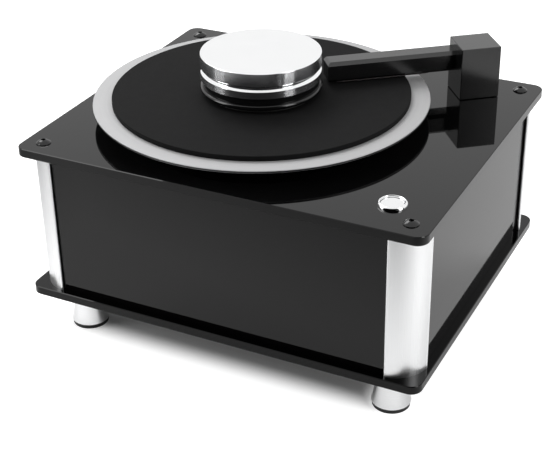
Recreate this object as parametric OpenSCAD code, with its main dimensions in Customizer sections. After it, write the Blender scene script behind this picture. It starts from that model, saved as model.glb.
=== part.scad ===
// Record cleaning machine with a turntable, a centre clamp and a swinging suction arm.
// The origin lies on the floor under the middle of the plates, +X right, +Y to the back, +Z up.

/* [Plates] */
// Width of both plates
plate_w = 374; // [368:1:420]
// Depth of both plates
plate_d = 312; // [310:1:350]
// Thickness of each acrylic plate
plate_t = 8; // [7:0.5:12]
// Corner radius of the plates
plate_r = 10; // [5:0.5:14]
// Bevel along the edges of the plates
plate_bevel = 0.6; // [0.3:0.1:1.2]
// Clear height between the two plates
bay_h = 130; // [128:1:160]
// Depth of the grooves that hold the panels
groove_h = 2; // [1:0.25:3]

/* [Panels] */
// Thickness of the four side panels
panel_t = 4; // [3:0.25:5]
// Distance from the edge of a plate to the face of a panel
panel_inset = 7.4; // [7.2:0.1:9]
// Clearance around a panel in its grooves
panel_fit = 0.1; // [0.05:0.05:0.2]
// How far a panel reaches past the centre of a post's arc
panel_reach = 5.5; // [3:0.5:6]

/* [Corner posts] */
// Outer radius of the quarter-round post
post_r = 30; // [29:0.5:31.5]
// Wall of the post's round shell
post_wall = 2.5; // [2:0.25:3]
// Distance from the edge of a plate to the centre of the post's arc
post_inset = 34; // [33.5:0.25:36]
// Angle at which the shell starts and ends, from the faces of the plates
post_lip = 7; // [4:1:12]
// Distance from both edges of a plate to the post's screws
screw_inset = 18.25; // [18:0.25:19.5]
// Outer radius of the screw port inside the post
port_r = 5.5; // [5.25:0.25:6]

/* [Screws] */
// Shank radius of the plate screws
screw_r = 4; // [3:0.25:4.25]
// Radius of a domed screw head
head_r = 6.5; // [5.5:0.25:8]
// Height of a domed screw head
head_h = 3.4; // [3:0.1:5]
// Length of a screw below its head
screw_l = 22; // [16:1:30]

/* [Feet] */
// Height of the metal foot above its rubber ring
foot_h = 37.6; // [25:0.2:50]
// Radius of the foot under the plate
foot_top_r = 12.2; // [10:0.2:14]
// Radius of the foot at its flared base
foot_base_r = 17; // [15:0.25:20]
// Exponent of the flare, higher for a later flare
foot_flare = 1.9; // [1:0.1:3]
// Thickness of the rubber ring under the foot
pad_h = 3.4; // [2:0.2:5]
// Radius of the rubber ring
pad_r = 16.2; // [14.5:0.1:16.8]
// Distance from both edges of a plate to the centre of a foot
foot_inset = 36.5; // [34:0.5:50]

/* [Platter] */
// Distance from the left edge of the plates to the spindle
spindle_inset = 159; // [155:1:163]
// Radius of the platter's bright disc
platter_r = 150; // [148:0.5:151]
// Thickness of the bright disc at its rim
platter_t = 2.4; // [2:0.1:3]
// Height of the bright disc's top over the top plate
platter_rise = 15.4; // [15:0.1:18]
// Radius of the dark mat
mat_r = 133; // [128:0.5:140]
// Thickness of the dark mat
mat_t = 4.6; // [3:0.1:5]
// Radius of the disc under the platter
sub_r = 118; // [100:1:125]
// Thickness of the disc under the platter
sub_t = 5.8; // [5:0.1:6]

/* [Spindle] */
// Radius of the spindle's running shaft
shaft_r = 6; // [5:0.25:7]
// Radius of the record pin
pin_r = 3.6; // [3.5:0.05:3.65]
// Height of the record pin over the mat
pin_h = 15; // [10:0.5:20]
// Running clearance on every shaft, at the radius
run_fit = 0.05; // [0.02:0.01:0.1]
// Rest clearance between faces that turn on each other
face_gap = 0.2; // [0.1:0.05:0.3]

/* [Drive] */
// Groove radius of the driven pulley
driven_r = 46; // [40:0.5:48]
// Groove radius of the motor pulley
drive_r = 8; // [6:0.5:10]
// Depth of the belt's middle under the top plate's upper face
belt_drop = 63; // [62:0.5:65]
// Width of the flat belt
belt_w = 6; // [4:0.5:7]
// Thickness of the flat belt
belt_t = 1.5; // [1:0.1:2]
// How far the motor stands to the left of the spindle
motor_aside = 82; // [76:1:84]
// How far the motor stands in front of the spindle
motor_before = 60; // [54:1:66]
// Radius of the motor's can
motor_r = 28; // [24:0.5:30]
// Height of the motor's can
motor_h = 36; // [30:0.5:37]

/* [Clamp] */
// Radius of the polished clamp
clamp_r = 53.6; // [45:0.2:56]
// Height of the upper clamp disc
cap_h = 12; // [8:0.25:16]
// Height of the lower clamp disc with its groove
puck_h = 11; // [9:0.25:14]
// Height of the black flange under the discs
flange_h = 10.7; // [8:0.1:12]
// How far the black flange stands out past the discs
flange_out = 0.9; // [0.2:0.1:1.5]
// Height of the rubber seal under the flange
seal_h = 3.2; // [2:0.1:4]
// Outer radius of the rubber seal
seal_r = 48.5; // [40:0.5:50]
// Lift of the clamp when it is taken off
clamp_lift = 50; // [30:1:80]

/* [Suction arm] */
// Distance from the right edge of the plates to the arm's pivot
arm_inset_x = 57.5; // [56:0.5:59]
// Distance from the rear edge of the plates to the arm's pivot
arm_inset_y = 37.7; // [37.5:0.1:40]
// Angle between the arm and the line from pivot to spindle
arm_toe = 1.3; // [0:0.1:3]
// Length of the block along the arm
block_l = 36.5; // [34:0.5:40]
// Width of the block across the arm
block_w = 35.5; // [34:0.5:38]
// Height of the block's top over the top plate
block_h = 48.7; // [45:0.1:60]
// Distance from the spindle to the tip of the arm
tip_gap = 60; // [59:1:80]
// Width of the arm's rectangular bar
bar_w = 18; // [14:0.5:20]
// Height of the arm's rectangular bar
bar_h = 19; // [15:0.5:24]
// Wall of the hollow bar
bar_wall = 2; // [1.5:0.25:2.5]
// Bevel along the upper front edge and the tip of the bar
bar_bevel = 3; // [1.5:0.25:3.5]
// Thickness of the velvet strips
lip_t = 1.2; // [0.8:0.1:1.5]
// Height of the velvet over the mat
lip_gap = 0.3; // [0.2:0.05:1]
// Width of the suction slot
slot_w = 3; // [2:0.25:4]
// Outer radius of the pivot tube
tube_r = 9; // [8:0.25:9.5]
// Bore radius of the pivot tube
tube_bore_r = 6.5; // [5:0.25:7]
// Height by which the arm can be lifted
arm_lift = 7.7; // [4:0.1:10]

/* [Push button] */
// Distance from the right edge of the plates to the push button
button_inset_x = 42.5; // [40:0.5:47]
// Distance from the front edge of the plates to the push button
button_inset_y = 40.7; // [38:0.1:46]
// Radius of the button's bezel
bezel_r = 12.25; // [12:0.25:14]
// Radius of the threaded barrel
barrel_r = 11; // [10.5:0.25:11.25]
// Radius of the pressed cap
cap_r = 9.8; // [8:0.1:9.9]
// Travel of the cap
cap_travel = 1.5; // [0.5:0.1:2]

/* [Vacuum] */
// Radius of the turbine's fan housing
turbine_r = 50; // [40:1:52]
// Height of the turbine over its rubber buffers
turbine_h = 66; // [50:1:68]
// Width of the waste tank
tank_w = 110; // [80:1:114]
// Depth of the waste tank
tank_d = 80; // [70:1:84]
// Height of the waste tank without its lid
tank_h = 60; // [50:1:62]
// Wall of the waste tank
tank_wall = 3; // [2:0.25:4]
// Bore radius of the hoses
hose_bore_r = 8; // [7:0.25:8.5]
// Outer radius of the hoses
hose_r = 11; // [10:0.25:11.5]

/* [Rear fittings] */
// Radius of the drain spigot
drain_r = 6; // [5:0.25:7]
// Number of vent slots
vent_count = 10; // [3:1:14]
// Width of a vent slot
vent_w = 3; // [2:0.25:3.5]
// Height of a vent slot
vent_h = 38; // [20:1:44]

/* [Hidden] */
$fn = 72;
// Overshoot of a cutting solid past the face that it opens
over = 1;

// Levels above the floor
foot_top = pad_h + foot_h;
base_top = foot_top + plate_t;
bay_top = base_top + bay_h;
deck = bay_top + plate_t;
mat_top = deck + platter_rise + mat_t;
belt_z = deck - belt_drop;

// Plan positions
post_x = plate_w / 2 - post_inset;
post_y = plate_d / 2 - post_inset;
screw_x = plate_w / 2 - screw_inset;
screw_y = plate_d / 2 - screw_inset;
foot_x = plate_w / 2 - foot_inset;
foot_y = plate_d / 2 - foot_inset;
spindle_x = spindle_inset - plate_w / 2;
spindle_y = 0;
arm_x = plate_w / 2 - arm_inset_x;
arm_y = plate_d / 2 - arm_inset_y;
button_x = plate_w / 2 - button_inset_x;
button_y = button_inset_y - plate_d / 2;
motor_x = spindle_x - motor_aside;
motor_y = spindle_y - motor_before;
panel_x = plate_w / 2 - panel_inset;
panel_y = plate_d / 2 - panel_inset;
front_panel_w = 2 * (post_x + panel_reach);
side_panel_w = 2 * (post_y + panel_reach);
panel_h = bay_h + 2 * (groove_h - panel_fit);
inside_x = panel_x - panel_t;
inside_y = panel_y - panel_t;

// Screws, nuts and their holes
hole_fit = 0.3;
thread_fit = 0.05;
dome_edge = 0.6;
socket_r = 2.3;
socket_h = 2;
nut_r = 7.5;
nut_h = 6.5;
stud_proud = 1.5;
stud_l = plate_t + nut_h + stud_proud;
small_screw_r = 1.5;
small_head_r = 2.7;
small_head_h = 2.4;
small_bite = 5;
small_spare = 0.5;
foot_edge = 0.8;
pad_w = 6;

// Post profile, measured from the centre of its arc
port = post_inset - screw_inset;
face = post_inset - panel_inset;
channel_gap = 0.3;
channel_wall = 2.2;
flange_reach = 4;
stop_gap = 0.5;
bead_extra = 0.3;
shell_mid = post_r - post_wall / 2;

// Spindle, its bearing and the discs on it
shaft_flange_r = 24;
shaft_flange_h = 4;
shaft_end = 4;
pin_nose = 3;
washer_h = 1;
washer_r = 15;
bush_wall = 2.45;
bush_l = 12;
seat_fit = 0.02;
housing_wall = 7.5;
spindle_bore_r = shaft_r + run_fit + bush_wall + seat_fit;
housing_r = spindle_bore_r + housing_wall;
housing_flange_w = 13;
housing_screw_out = 7;
housing_screw_at = housing_r + housing_screw_out;
housing_flange_r = housing_r + housing_flange_w;
housing_flange_h = 5;
housing_over_belt = 14;
housing_l = belt_drop - housing_over_belt;
flange_bottom = deck + platter_rise - platter_t - sub_t - shaft_flange_h;
washer_bottom = flange_bottom - face_gap - washer_h;
sub_bevel = 0.8;
platter_bevel = 0.5;
mat_bevel = 0.4;

// Pulleys and the belt between them
pulley_flange_h = 2;
pulley_room = 1;
pulley_h = belt_w + 2 * (pulley_flange_h + pulley_room);
pulley_lip = 2;
pulley_rim = 5;
web_h = 4;
hub_r = 14;
web_hole_r = 8;
web_hole_at = (driven_r - pulley_rim + hub_r) / 2;
belt_gap = 0.3;
motor_dist = sqrt(motor_aside * motor_aside + motor_before * motor_before);
motor_turn = atan2(-motor_before, -motor_aside);

// Motor and its hanging plate
motor_plate_t = 3;
motor_plate_w = 76;
motor_plate_r = 6;
motor_plate_gap = 2;
motor_plate_z = belt_z + pulley_h / 2 + motor_plate_gap;
motor_lid_h = 5;
motor_lid_step = 3;
standoff_r = 4;
standoff_edge = 1;
standoff_at = motor_plate_w / 2 - standoff_r - standoff_edge;
motor_shaft_r = 3;
motor_shaft_in = 15;
motor_shaft_spare = 2;
motor_shaft_gap = 3;

// Clamp levels
seal_gap = 0.1;
seal_w = 8;
seal_bottom = mat_top + seal_gap;
flange_z = seal_bottom + seal_h;
puck_z = flange_z + flange_h;
cap_z = puck_z + puck_h;
clamp_bore_r = pin_r + run_fit;
pin_room = 5;
cap_round = 0.4;
cap_foot_bevel = 0.6;
flange_lip_r = 3.5;
flange_bevel = 1;
puck_bevel = 0.4;
neck_in = 2.2;
neck_h = 2.2;
neck_lip = 1.2;

// Suction arm in the frame of its pivot: +X along the arm, +Z up
arm_dx = spindle_x - arm_x;
arm_dy = spindle_y - arm_y;
arm_dist = sqrt(arm_dx * arm_dx + arm_dy * arm_dy);
arm_turn = atan2(arm_dy, arm_dx) + arm_toe;
arm_reach = arm_dist - tip_gap;
block_gap = 0.3;
block_bevel = 0.5;
socket_depth = 18;
bar_bottom = mat_top + lip_gap + lip_t;
bar_side = -block_w / 2;
bar_mid = bar_side + bar_w / 2;
bar_start = block_l / 2;
bar_back_bevel = 0.8;
bar_inner_bevel = 1.8;
duct_w = bar_w - 2 * bar_wall;
duct_h = bar_h - 2 * bar_wall;
end_cap_l = 4;
end_cap_plug = 5;
end_cap_fit = 0.1;
end_cap_bevel = 2.5;
slot_to_block = 26.75;
slot_to_plug = 1;
slot_start = bar_start + slot_to_block;
slot_end = arm_reach - end_cap_l - end_cap_plug - slot_to_plug;
lip_w = 4.5;
lip_gap_side = 0.4;
lip_over = 2;
lip_round = 1;
arm_bush_wall = 1.95;
arm_bore_r = tube_r + run_fit + arm_bush_wall + seat_fit;
arm_housing_wall = 2.4;
arm_flange_w = 6;
arm_screw_edge = 2.9;
arm_housing_r = arm_bore_r + arm_housing_wall;
arm_flange_r = arm_housing_r + arm_flange_w;
arm_screw_at = arm_flange_r - arm_screw_edge;
arm_housing_l = 47;
collar_h = 10;
collar_wall = 4.5;
collar_r = tube_r + collar_wall;
ear_wall = 2.5;
clip_h = 1.5;
clip_w = 2;
guide_r = 2;
guide_gap = 0.88;
guide_at = arm_housing_r + guide_r + guide_gap;
guide_spare = 4;
lift_spare = 0.3;
collar_top = deck - arm_housing_l - arm_lift - clip_h - face_gap - lift_spare;

// Suction path inside the case
elbow_wall = 4;
elbow_floor = 18;
port_level = 26;
port_room = 10;
tube_in_elbow = 23;
elbow_r = tube_r + elbow_wall;
elbow_port_z = base_top + port_level;
tube_bottom = elbow_port_z + port_room;
elbow_top = tube_bottom + tube_in_elbow;
seal_room = 0.3;
barb_l = 12;
barb_wall = 2;
barb_bore_r = hose_bore_r - barb_wall;
barb_root = 1.5;
barb_tip = 1;
elbow_barb_l = 8;
tank_barb_l = 9;
barb_to_barb = 1.5;
hose_play = 0.2;
tank_r = 6;
tank_back_gap = 8;
tank_x = arm_x - elbow_r + barb_root - elbow_barb_l - barb_to_barb - tank_barb_l - tank_w / 2;
tank_y = inside_y - tank_back_gap - tank_d / 2;
lid_t = 4;
lid_barb_edge = 14.5;
lid_barb_front = 15.5;
lid_barb_x = tank_x + tank_w / 2 - lid_barb_edge;
lid_barb_y = tank_y - lid_barb_front;
lid_top = base_top + tank_h + lid_t;
hose_seat = 1;
hose_bend_r = 20;
hose_drop = 19;
hose_z = bay_top - hose_drop;
drain_wall = 1.5;
drain_collar_w = 3;
drain_collar_h = 3;
drain_level = 11;
drain_z = base_top + drain_level;
drain_proud = 5;
drain_hole_gap = 1;
drain_cap_gap = 1;
drain_cap_wall = 2;
drain_cap_play = 0.2;
drain_cap_depth = drain_proud - drain_cap_gap + drain_cap_play;
rib_count = 16;
rib_r = 1;
rib_out = 0.5;

// Vacuum turbine
exhaust_l = 12;
exhaust_r = 11;
exhaust_bore_r = 9;
exhaust_room = 21.5;
turbine_x = lid_barb_x;
turbine_y = turbine_r + exhaust_l + exhaust_room - inside_y;
buffer_h = 10;
buffer_r = 8;
buffer_waist = 1.5;
buffer_edge = 9;
can_step = 13;
can_r = turbine_r - can_step;
buffer_at = can_r - buffer_edge;
turbine_z = base_top + buffer_h;
turbine_top = turbine_z + turbine_h;
fan_h = 36;
can_h = turbine_h - fan_h;
can_edge = 4;
fan_edge = 2;
fan_shoulder = 8;
fan_crown = 9;
fan_slope = 2.5;
fan_step = 3;
can_slot_w = 3;
can_slot_deep = 4;
turbine_eye = 12;

// Power and control board
board_w = 80;
board_d = 70;
board_t = 1.6;
board_to_left = 21.5;
board_to_rear = 41.5;
board_x = board_w / 2 + board_to_left - inside_x;
board_y = inside_y - board_d / 2 - board_to_rear;
pillar_h = 8;
pillar_r = 3;
pillar_edge = 5;
transformer = [40, 36, 28];
transformer_at = [-14, 6];
transformer_bevel = 2;
capacitor_r = 5;
capacitor_h = 22;
capacitor_pitch = 12;
capacitor_at = [18, 18];
fin_count = 6;
fin_pitch = 5;
fin_t = 1.6;
fin_d = 14;
fin_h = 20;
fin_base = 2;
fin_y = -28;

// Rear fittings
inlet_inset = 77;
inlet_x = inlet_inset - plate_w / 2;
inlet_to_rocker = 40;
rocker_x = inlet_x + inlet_to_rocker;
fitting_level = 0.4;
fitting_z = base_top + bay_h * fitting_level;
inlet_w = 27;
inlet_h = 19.4;
inlet_depth = 20;
inlet_bevel = 3;
inlet_rim_x = 3.5;
inlet_rim_z = 2.5;
inlet_corner = 2;
recess_wall_x = 1.5;
recess_wall_z = 1.7;
recess_d = 17;
blade = [2, 4, 11];
blade_up = 3;
blade_down = 2;
blade_aside = 7;
frame_w = 12.6;
frame_h = 18.6;
frame_depth = 18;
frame_rim = 2;
frame_corner = 1.5;
frame_wall = 1.7;
well_d = 10;
cutout_fit = 0.3;
trim_t = 2;
rocker_pin_r = 1.2;
rocker_pin_in = 1;
rocker_pin_play = 0.2;
rocker_tilt = 8;
rocker_pin_deep = 2.5;
rocker_pin_y = panel_y - rocker_pin_deep;
rocker_gap = 0.3;
rocker_play = 1;
rocker_face = 4.2;
rocker_dip = 1.1;
rocker_skirt = 0.2;
rocker_back = 2.6;
rocker_back_h = 1.6;
vent_pitch = 7;
vent_x = lid_barb_x;
vent_drop = 45;
vent_z = bay_top - vent_drop;

// Push button
bezel_h = 2.8;
bezel_round = 0.4;
barrel_l = 37;
button_nut_wall = 3;
button_nut_r = barrel_r + button_nut_wall;
button_nut_h = 4;
cap_sunk = 0.9;
cap_disc_h = 4.3;
cap_gap = 0.3;
cap_stop = 0.4;
cap_edge = [0.9, 0.2];
cap_crown = 2;
stem_r = 3;
switch_h = 12;
well_floor = deck + bezel_h - cap_sunk - cap_disc_h - cap_travel - cap_stop;

// Plan helpers
CORNERS = [[-1, -1], [1, -1], [-1, 1], [1, 1]];
function quadrant(sx, sy) = sx > 0 ? (sy > 0 ? 0 : 270) : (sy > 0 ? 90 : 180);

// A closed ring or a plain tube
module tube(outer, bore, height) {
    difference() {
        cylinder(r = outer, h = height);
        translate([0, 0, -over])
            cylinder(r = bore, h = height + 2 * over);
    }
}

// Cylinder that runs a little past both ends, for cutting
module bore(radius, bottom, top) {
    translate([0, 0, bottom - over])
        cylinder(r = radius, h = top - bottom + 2 * over);
}

// Round pocket that is open below its mouth and ends flat at that depth over it
module pocket(radius, mouth, depth) {
    translate([0, 0, mouth - over])
        cylinder(r = radius, h = depth + over);
}

// Rectangle with rounded corners, centred
module round_rect(w, d, r) {
    square([w - 2 * r, d], center = true);
    square([w, d - 2 * r], center = true);
    for (c = CORNERS)
        translate([c[0] * (w / 2 - r), c[1] * (d / 2 - r)])
            circle(r = r);
}

// Upright slot with round ends, centred
module slot_outline(w, h) {
    square([w, h - w], center = true);
    for (s = [-1, 1])
        translate([0, s * (h - w) / 2])
            circle(r = w / 2);
}

// Rectangle with bevelled corners, centred
module bevel_rect(w, d, b) {
    polygon([
        [-w / 2 + b, -d / 2], [w / 2 - b, -d / 2], [w / 2, -d / 2 + b], [w / 2, d / 2 - b],
        [w / 2 - b, d / 2], [-w / 2 + b, d / 2], [-w / 2, d / 2 - b], [-w / 2, -d / 2 + b]
    ]);
}

// Block with all its edges bevelled, standing on z = 0
module bevel_block(w, d, h, b) {
    intersection() {
        linear_extrude(h)
            bevel_rect(w, d, b);
        translate([0, d / 2, h / 2])
            rotate([90, 0, 0])
                linear_extrude(d)
                    bevel_rect(w, h, b);
        translate([-w / 2, 0, h / 2])
            rotate([90, 0, 90])
                linear_extrude(w)
                    bevel_rect(d, h, b);
    }
}

// Plate with rounded corners and a bevel along both its rims
module bevelled_plate() {
    w = plate_w;
    d = plate_d;
    r = plate_r;
    b = plate_bevel;
    translate([0, d / 2 - r, plate_t / 2])
        rotate([90, 0, 0])
            linear_extrude(d - 2 * r)
                bevel_rect(w, plate_t, b);
    translate([r - w / 2, 0, plate_t / 2])
        rotate([90, 0, 90])
            linear_extrude(w - 2 * r)
                bevel_rect(d, plate_t, b);
    for (c = CORNERS)
        translate([c[0] * (w / 2 - r), c[1] * (d / 2 - r), 0])
            rotate_extrude()
                polygon([
                    [0, 0], [r - b, 0], [r, b], [r, plate_t - b], [r - b, plate_t], [0, plate_t]
                ]);
}

// Grooves that take the edges of the four panels, open upwards from a floor at z = 0
module panel_grooves(open) {
    w = panel_t + 2 * panel_fit;
    h = groove_h + open;
    for (s = [-1, 1]) {
        translate([0, s * (panel_y - panel_t / 2), h / 2])
            cube([front_panel_w + 2 * panel_fit, w, h], center = true);
        translate([s * (panel_x - panel_t / 2), 0, h / 2])
            cube([w, side_panel_w + 2 * panel_fit, h], center = true);
    }
}

// Domed screw with a hexagon socket, head upwards, seat at z = 0
module dome_screw(length) {
    cap = head_h - dome_edge;
    ball_r = (head_r * head_r + cap * cap) / (2 * cap);
    difference() {
        intersection() {
            cylinder(r = head_r, h = head_h);
            translate([0, 0, head_h - ball_r])
                sphere(r = ball_r);
        }
        translate([0, 0, head_h - socket_h])
            cylinder(r = socket_r, h = socket_h + over, $fn = 6);
    }
    translate([0, 0, -length])
        cylinder(r = screw_r, h = length);
}

// Acrylic base plate on which the case stands
module base_plate() {
    color([0.05, 0.05, 0.05])
        difference() {
            translate([0, 0, foot_top])
                bevelled_plate();
            translate([0, 0, base_top - groove_h])
                panel_grooves(over);
            for (c = CORNERS) {
                translate([c[0] * foot_x, c[1] * foot_y, 0])
                    bore(screw_r + hole_fit, foot_top, base_top);
                translate([c[0] * screw_x, c[1] * screw_y, 0])
                    bore(screw_r + hole_fit, foot_top, base_top);
            }
        }
}

// Acrylic top plate that carries the platter, the arm and the button
module top_plate() {
    color([0.05, 0.05, 0.05])
        difference() {
            translate([0, 0, bay_top])
                bevelled_plate();
            translate([0, 0, bay_top + groove_h])
                mirror([0, 0, 1])
                    panel_grooves(over);
            for (c = CORNERS)
                translate([c[0] * screw_x, c[1] * screw_y, 0])
                    bore(screw_r + hole_fit, bay_top, deck);
            translate([spindle_x, spindle_y, 0])
                bore(housing_r + hole_fit, bay_top, deck);
            translate([arm_x, arm_y, 0])
                bore(arm_housing_r + hole_fit, bay_top, deck);
            translate([button_x, button_y, 0])
                bore(barrel_r + hole_fit, bay_top, deck);
            flange_screw_places()
                translate([0, 0, -over])
                    cylinder(r = small_screw_r + thread_fit, h = small_bite + over + small_spare);
        }
}

// Panel between two posts, standing in the grooves of both plates
module panel(length) {
    translate([-length / 2, 0, base_top - groove_h + panel_fit])
        cube([length, panel_t, panel_h]);
}

module front_panel() {
    color([0.07, 0.07, 0.07])
        translate([0, -panel_y, 0])
            panel(front_panel_w);
}

module left_panel() {
    color([0.07, 0.07, 0.07])
        translate([-panel_x, 0, 0])
            rotate([0, 0, -90])
                panel(side_panel_w);
}

module right_panel() {
    color([0.07, 0.07, 0.07])
        translate([panel_x, 0, 0])
            rotate([0, 0, 90])
                panel(side_panel_w);
}

// Cut-out through the rear panel
module rear_cutout(x, z, w, h) {
    translate([x, panel_y, z])
        cube([w + 2 * cutout_fit, 2 * panel_t + 2 * over, h + 2 * cutout_fit], center = true);
}

module rear_panel() {
    color([0.07, 0.07, 0.07])
        difference() {
            translate([0, panel_y - panel_t, 0])
                panel(front_panel_w);
            rear_cutout(inlet_x, fitting_z, inlet_w, inlet_h);
            rear_cutout(rocker_x, fitting_z, frame_w, frame_h);
            translate([tank_x, panel_y, drain_z])
                rotate([90, 0, 0])
                    bore(drain_r + drain_hole_gap, 0, panel_t);
            for (i = [0 : vent_count - 1])
                translate([vent_x + (i - (vent_count - 1) / 2) * vent_pitch, panel_y, vent_z])
                    rotate([90, 0, 0])
                        translate([0, 0, -over])
                            linear_extrude(panel_t + 2 * over)
                                slot_outline(vent_w, vent_h);
        }
}

// Quarter-round shell with a bead along both its edges
module post_shell() {
    bead = post_wall / 2 + bead_extra;
    intersection() {
        difference() {
            circle(r = post_r);
            circle(r = post_r - post_wall);
        }
        polygon([
            [0, 0], [2 * post_r * cos(post_lip), 2 * post_r * sin(post_lip)],
            [2 * post_r, 2 * post_r],
            [2 * post_r * sin(post_lip), 2 * post_r * cos(post_lip)]
        ]);
    }
    for (a = [post_lip, 90 - post_lip])
        translate([shell_mid * cos(a), shell_mid * sin(a)])
            circle(r = bead);
}

// Stop behind a panel's end and the flange along its inner face
module post_rebate() {
    stop_from = panel_reach + stop_gap;
    stop_to = sqrt(shell_mid * shell_mid - face * face);
    inner = face - panel_t - channel_gap - channel_wall;
    translate([face - post_wall, stop_from])
        square([post_wall, stop_to - stop_from]);
    translate([inner, -flange_reach])
        square([channel_wall, port + flange_reach]);
}

// Outline of the extruded post: shell, panel stops, inner flanges and screw port
module post_profile() {
    difference() {
        union() {
            post_shell();
            post_rebate();
            mirror([1, -1])
                post_rebate();
            translate([port, port])
                circle(r = port_r);
        }
        translate([port, port])
            circle(r = screw_r + thread_fit);
    }
}

module post(c, shade) {
    color(shade)
        translate([c[0] * post_x, c[1] * post_y, base_top])
            rotate([0, 0, quadrant(c[0], c[1])])
                linear_extrude(bay_h)
                    post_profile();
}

// Turned foot with a late flare, a stud on top and a rim for its rubber ring
module foot(c) {
    steps = 16;
    flare = [for (i = [0 : steps])
        let (t = i / steps)
            [foot_top_r + (foot_base_r - foot_top_r) * pow(t, foot_flare),
             foot_top - (foot_h - foot_edge) * t]];
    color([0.85, 0.86, 0.88])
        translate([c[0] * foot_x, c[1] * foot_y, 0]) {
            rotate_extrude()
                polygon(concat([[0, foot_top]], flare, [[foot_base_r - foot_edge, pad_h], [0, pad_h]]));
            translate([0, 0, foot_top])
                cylinder(r = screw_r, h = stud_l);
        }
}

module foot_pads() {
    color([0.06, 0.06, 0.06])
        for (c = CORNERS)
            translate([c[0] * foot_x, c[1] * foot_y, 0])
                tube(pad_r, pad_r - pad_w, pad_h);
}

module foot_nuts() {
    color([0.7, 0.7, 0.72])
        for (c = CORNERS)
            translate([c[0] * foot_x, c[1] * foot_y, base_top])
                difference() {
                    cylinder(r = nut_r, h = nut_h, $fn = 6);
                    bore(screw_r + thread_fit, 0, nut_h);
                }
}

// Four screws down into the posts and four up into them
module plate_screws() {
    color([0.06, 0.06, 0.06])
        for (c = CORNERS)
            translate([c[0] * screw_x, c[1] * screw_y, 0]) {
                translate([0, 0, deck])
                    dome_screw(screw_l);
                translate([0, 0, foot_top])
                    rotate([180, 0, 0])
                        dome_screw(screw_l);
            }
}

// Places of the small screws that hold both bearing flanges, at the plate's underside
module flange_screw_places() {
    spots = [
        [spindle_x, spindle_y, housing_screw_at],
        [arm_x, arm_y, arm_screw_at]
    ];
    for (s = spots)
        for (a = [45 : 90 : 315])
            translate([s[0], s[1], bay_top])
                rotate([0, 0, a])
                    translate([s[2], 0, 0])
                        children();
}

module flange_screws() {
    color([0.6, 0.6, 0.62])
        flange_screw_places() {
            translate([0, 0, -housing_flange_h])
                cylinder(r = small_screw_r, h = housing_flange_h + small_bite);
            translate([0, 0, -housing_flange_h - small_head_h])
                cylinder(r = small_head_r, h = small_head_h);
        }
}

// Bearing tube with a flange under the top plate
module bearing(outer, bore_r, flange_r, top, length, screw_at) {
    difference() {
        union() {
            translate([0, 0, deck - length])
                cylinder(r = outer, h = top - deck + length);
            translate([0, 0, bay_top - housing_flange_h])
                cylinder(r = flange_r, h = housing_flange_h);
        }
        bore(bore_r, deck - length, top);
        for (a = [45 : 90 : 315])
            rotate([0, 0, a])
                translate([screw_at, 0, 0])
                    bore(small_screw_r + thread_fit, bay_top - housing_flange_h, bay_top);
    }
}

module bearing_housing() {
    color([0.62, 0.63, 0.65])
        translate([spindle_x, spindle_y, 0])
            bearing(housing_r, spindle_bore_r, housing_flange_r, washer_bottom, housing_l,
                housing_screw_at);
}

module bearing_bushes() {
    outer = spindle_bore_r - seat_fit;
    color([0.72, 0.55, 0.25])
        translate([spindle_x, spindle_y, 0])
            for (z = [deck - housing_l, washer_bottom - bush_l])
                translate([0, 0, z])
                    tube(outer, shaft_r + run_fit, bush_l);
}

module thrust_washer() {
    color([0.9, 0.9, 0.86])
        translate([spindle_x, spindle_y, washer_bottom])
            tube(washer_r, shaft_r + 2 * run_fit, washer_h);
}

// Shaft, carrying flange and record pin turned from one bar
module spindle() {
    shaft_bottom = belt_z - pulley_h / 2 - shaft_end;
    pin_top = mat_top + pin_h;
    color([0.75, 0.76, 0.78])
        translate([spindle_x, spindle_y, 0]) {
            translate([0, 0, shaft_bottom])
                cylinder(r = shaft_r, h = flange_bottom - shaft_bottom);
            translate([0, 0, flange_bottom])
                cylinder(r = shaft_flange_r, h = shaft_flange_h);
            translate([0, 0, flange_bottom])
                cylinder(r = pin_r, h = pin_top - pin_nose - flange_bottom);
            translate([0, 0, pin_top - pin_nose])
                cylinder(r1 = pin_r, r2 = pin_r / 2, h = pin_nose);
        }
}

// Disc with a centre hole and a small bevel at both rims
module disc(radius, height, hole_r, bevel) {
    rotate_extrude()
        polygon([
            [hole_r, 0], [radius - bevel, 0], [radius, bevel], [radius, height - bevel],
            [radius - bevel, height], [hole_r, height]
        ]);
}

module sub_platter() {
    color([0.06, 0.06, 0.06])
        translate([spindle_x, spindle_y, flange_bottom + shaft_flange_h])
            disc(sub_r, sub_t, pin_r + run_fit, sub_bevel);
}

module platter() {
    color([0.8, 0.8, 0.8])
        translate([spindle_x, spindle_y, deck + platter_rise - platter_t])
            disc(platter_r, platter_t, pin_r + run_fit, platter_bevel);
}

module record_mat() {
    color([0.13, 0.13, 0.13])
        translate([spindle_x, spindle_y, deck + platter_rise])
            disc(mat_r, mat_t, pin_r + run_fit, mat_bevel);
}

// Flat-belt groove between two lips, as a turned profile
module pulley_profile(groove, lip, bore_r) {
    half = pulley_h / 2;
    flank = half - pulley_flange_h;
    rotate_extrude()
        polygon([
            [bore_r, -half], [groove + lip, -half], [groove + lip, -flank], [groove, -flank],
            [groove, flank], [groove + lip, flank], [groove + lip, half], [bore_r, half]
        ]);
}

// Pulley on the spindle: rim, thin web with six holes, hub
module driven_pulley() {
    color([0.2, 0.2, 0.21])
        translate([spindle_x, spindle_y, belt_z])
            difference() {
                pulley_profile(driven_r, pulley_lip, shaft_r + seat_fit);
                for (s = [-1, 1])
                    translate([0, 0, s * (web_h + pulley_h) / 2])
                        web_recess(pulley_h);
                for (a = [0 : 60 : 300])
                    rotate([0, 0, a])
                        translate([web_hole_at, 0, 0])
                            bore(web_hole_r, -web_h / 2, web_h / 2);
            }
}

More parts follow.
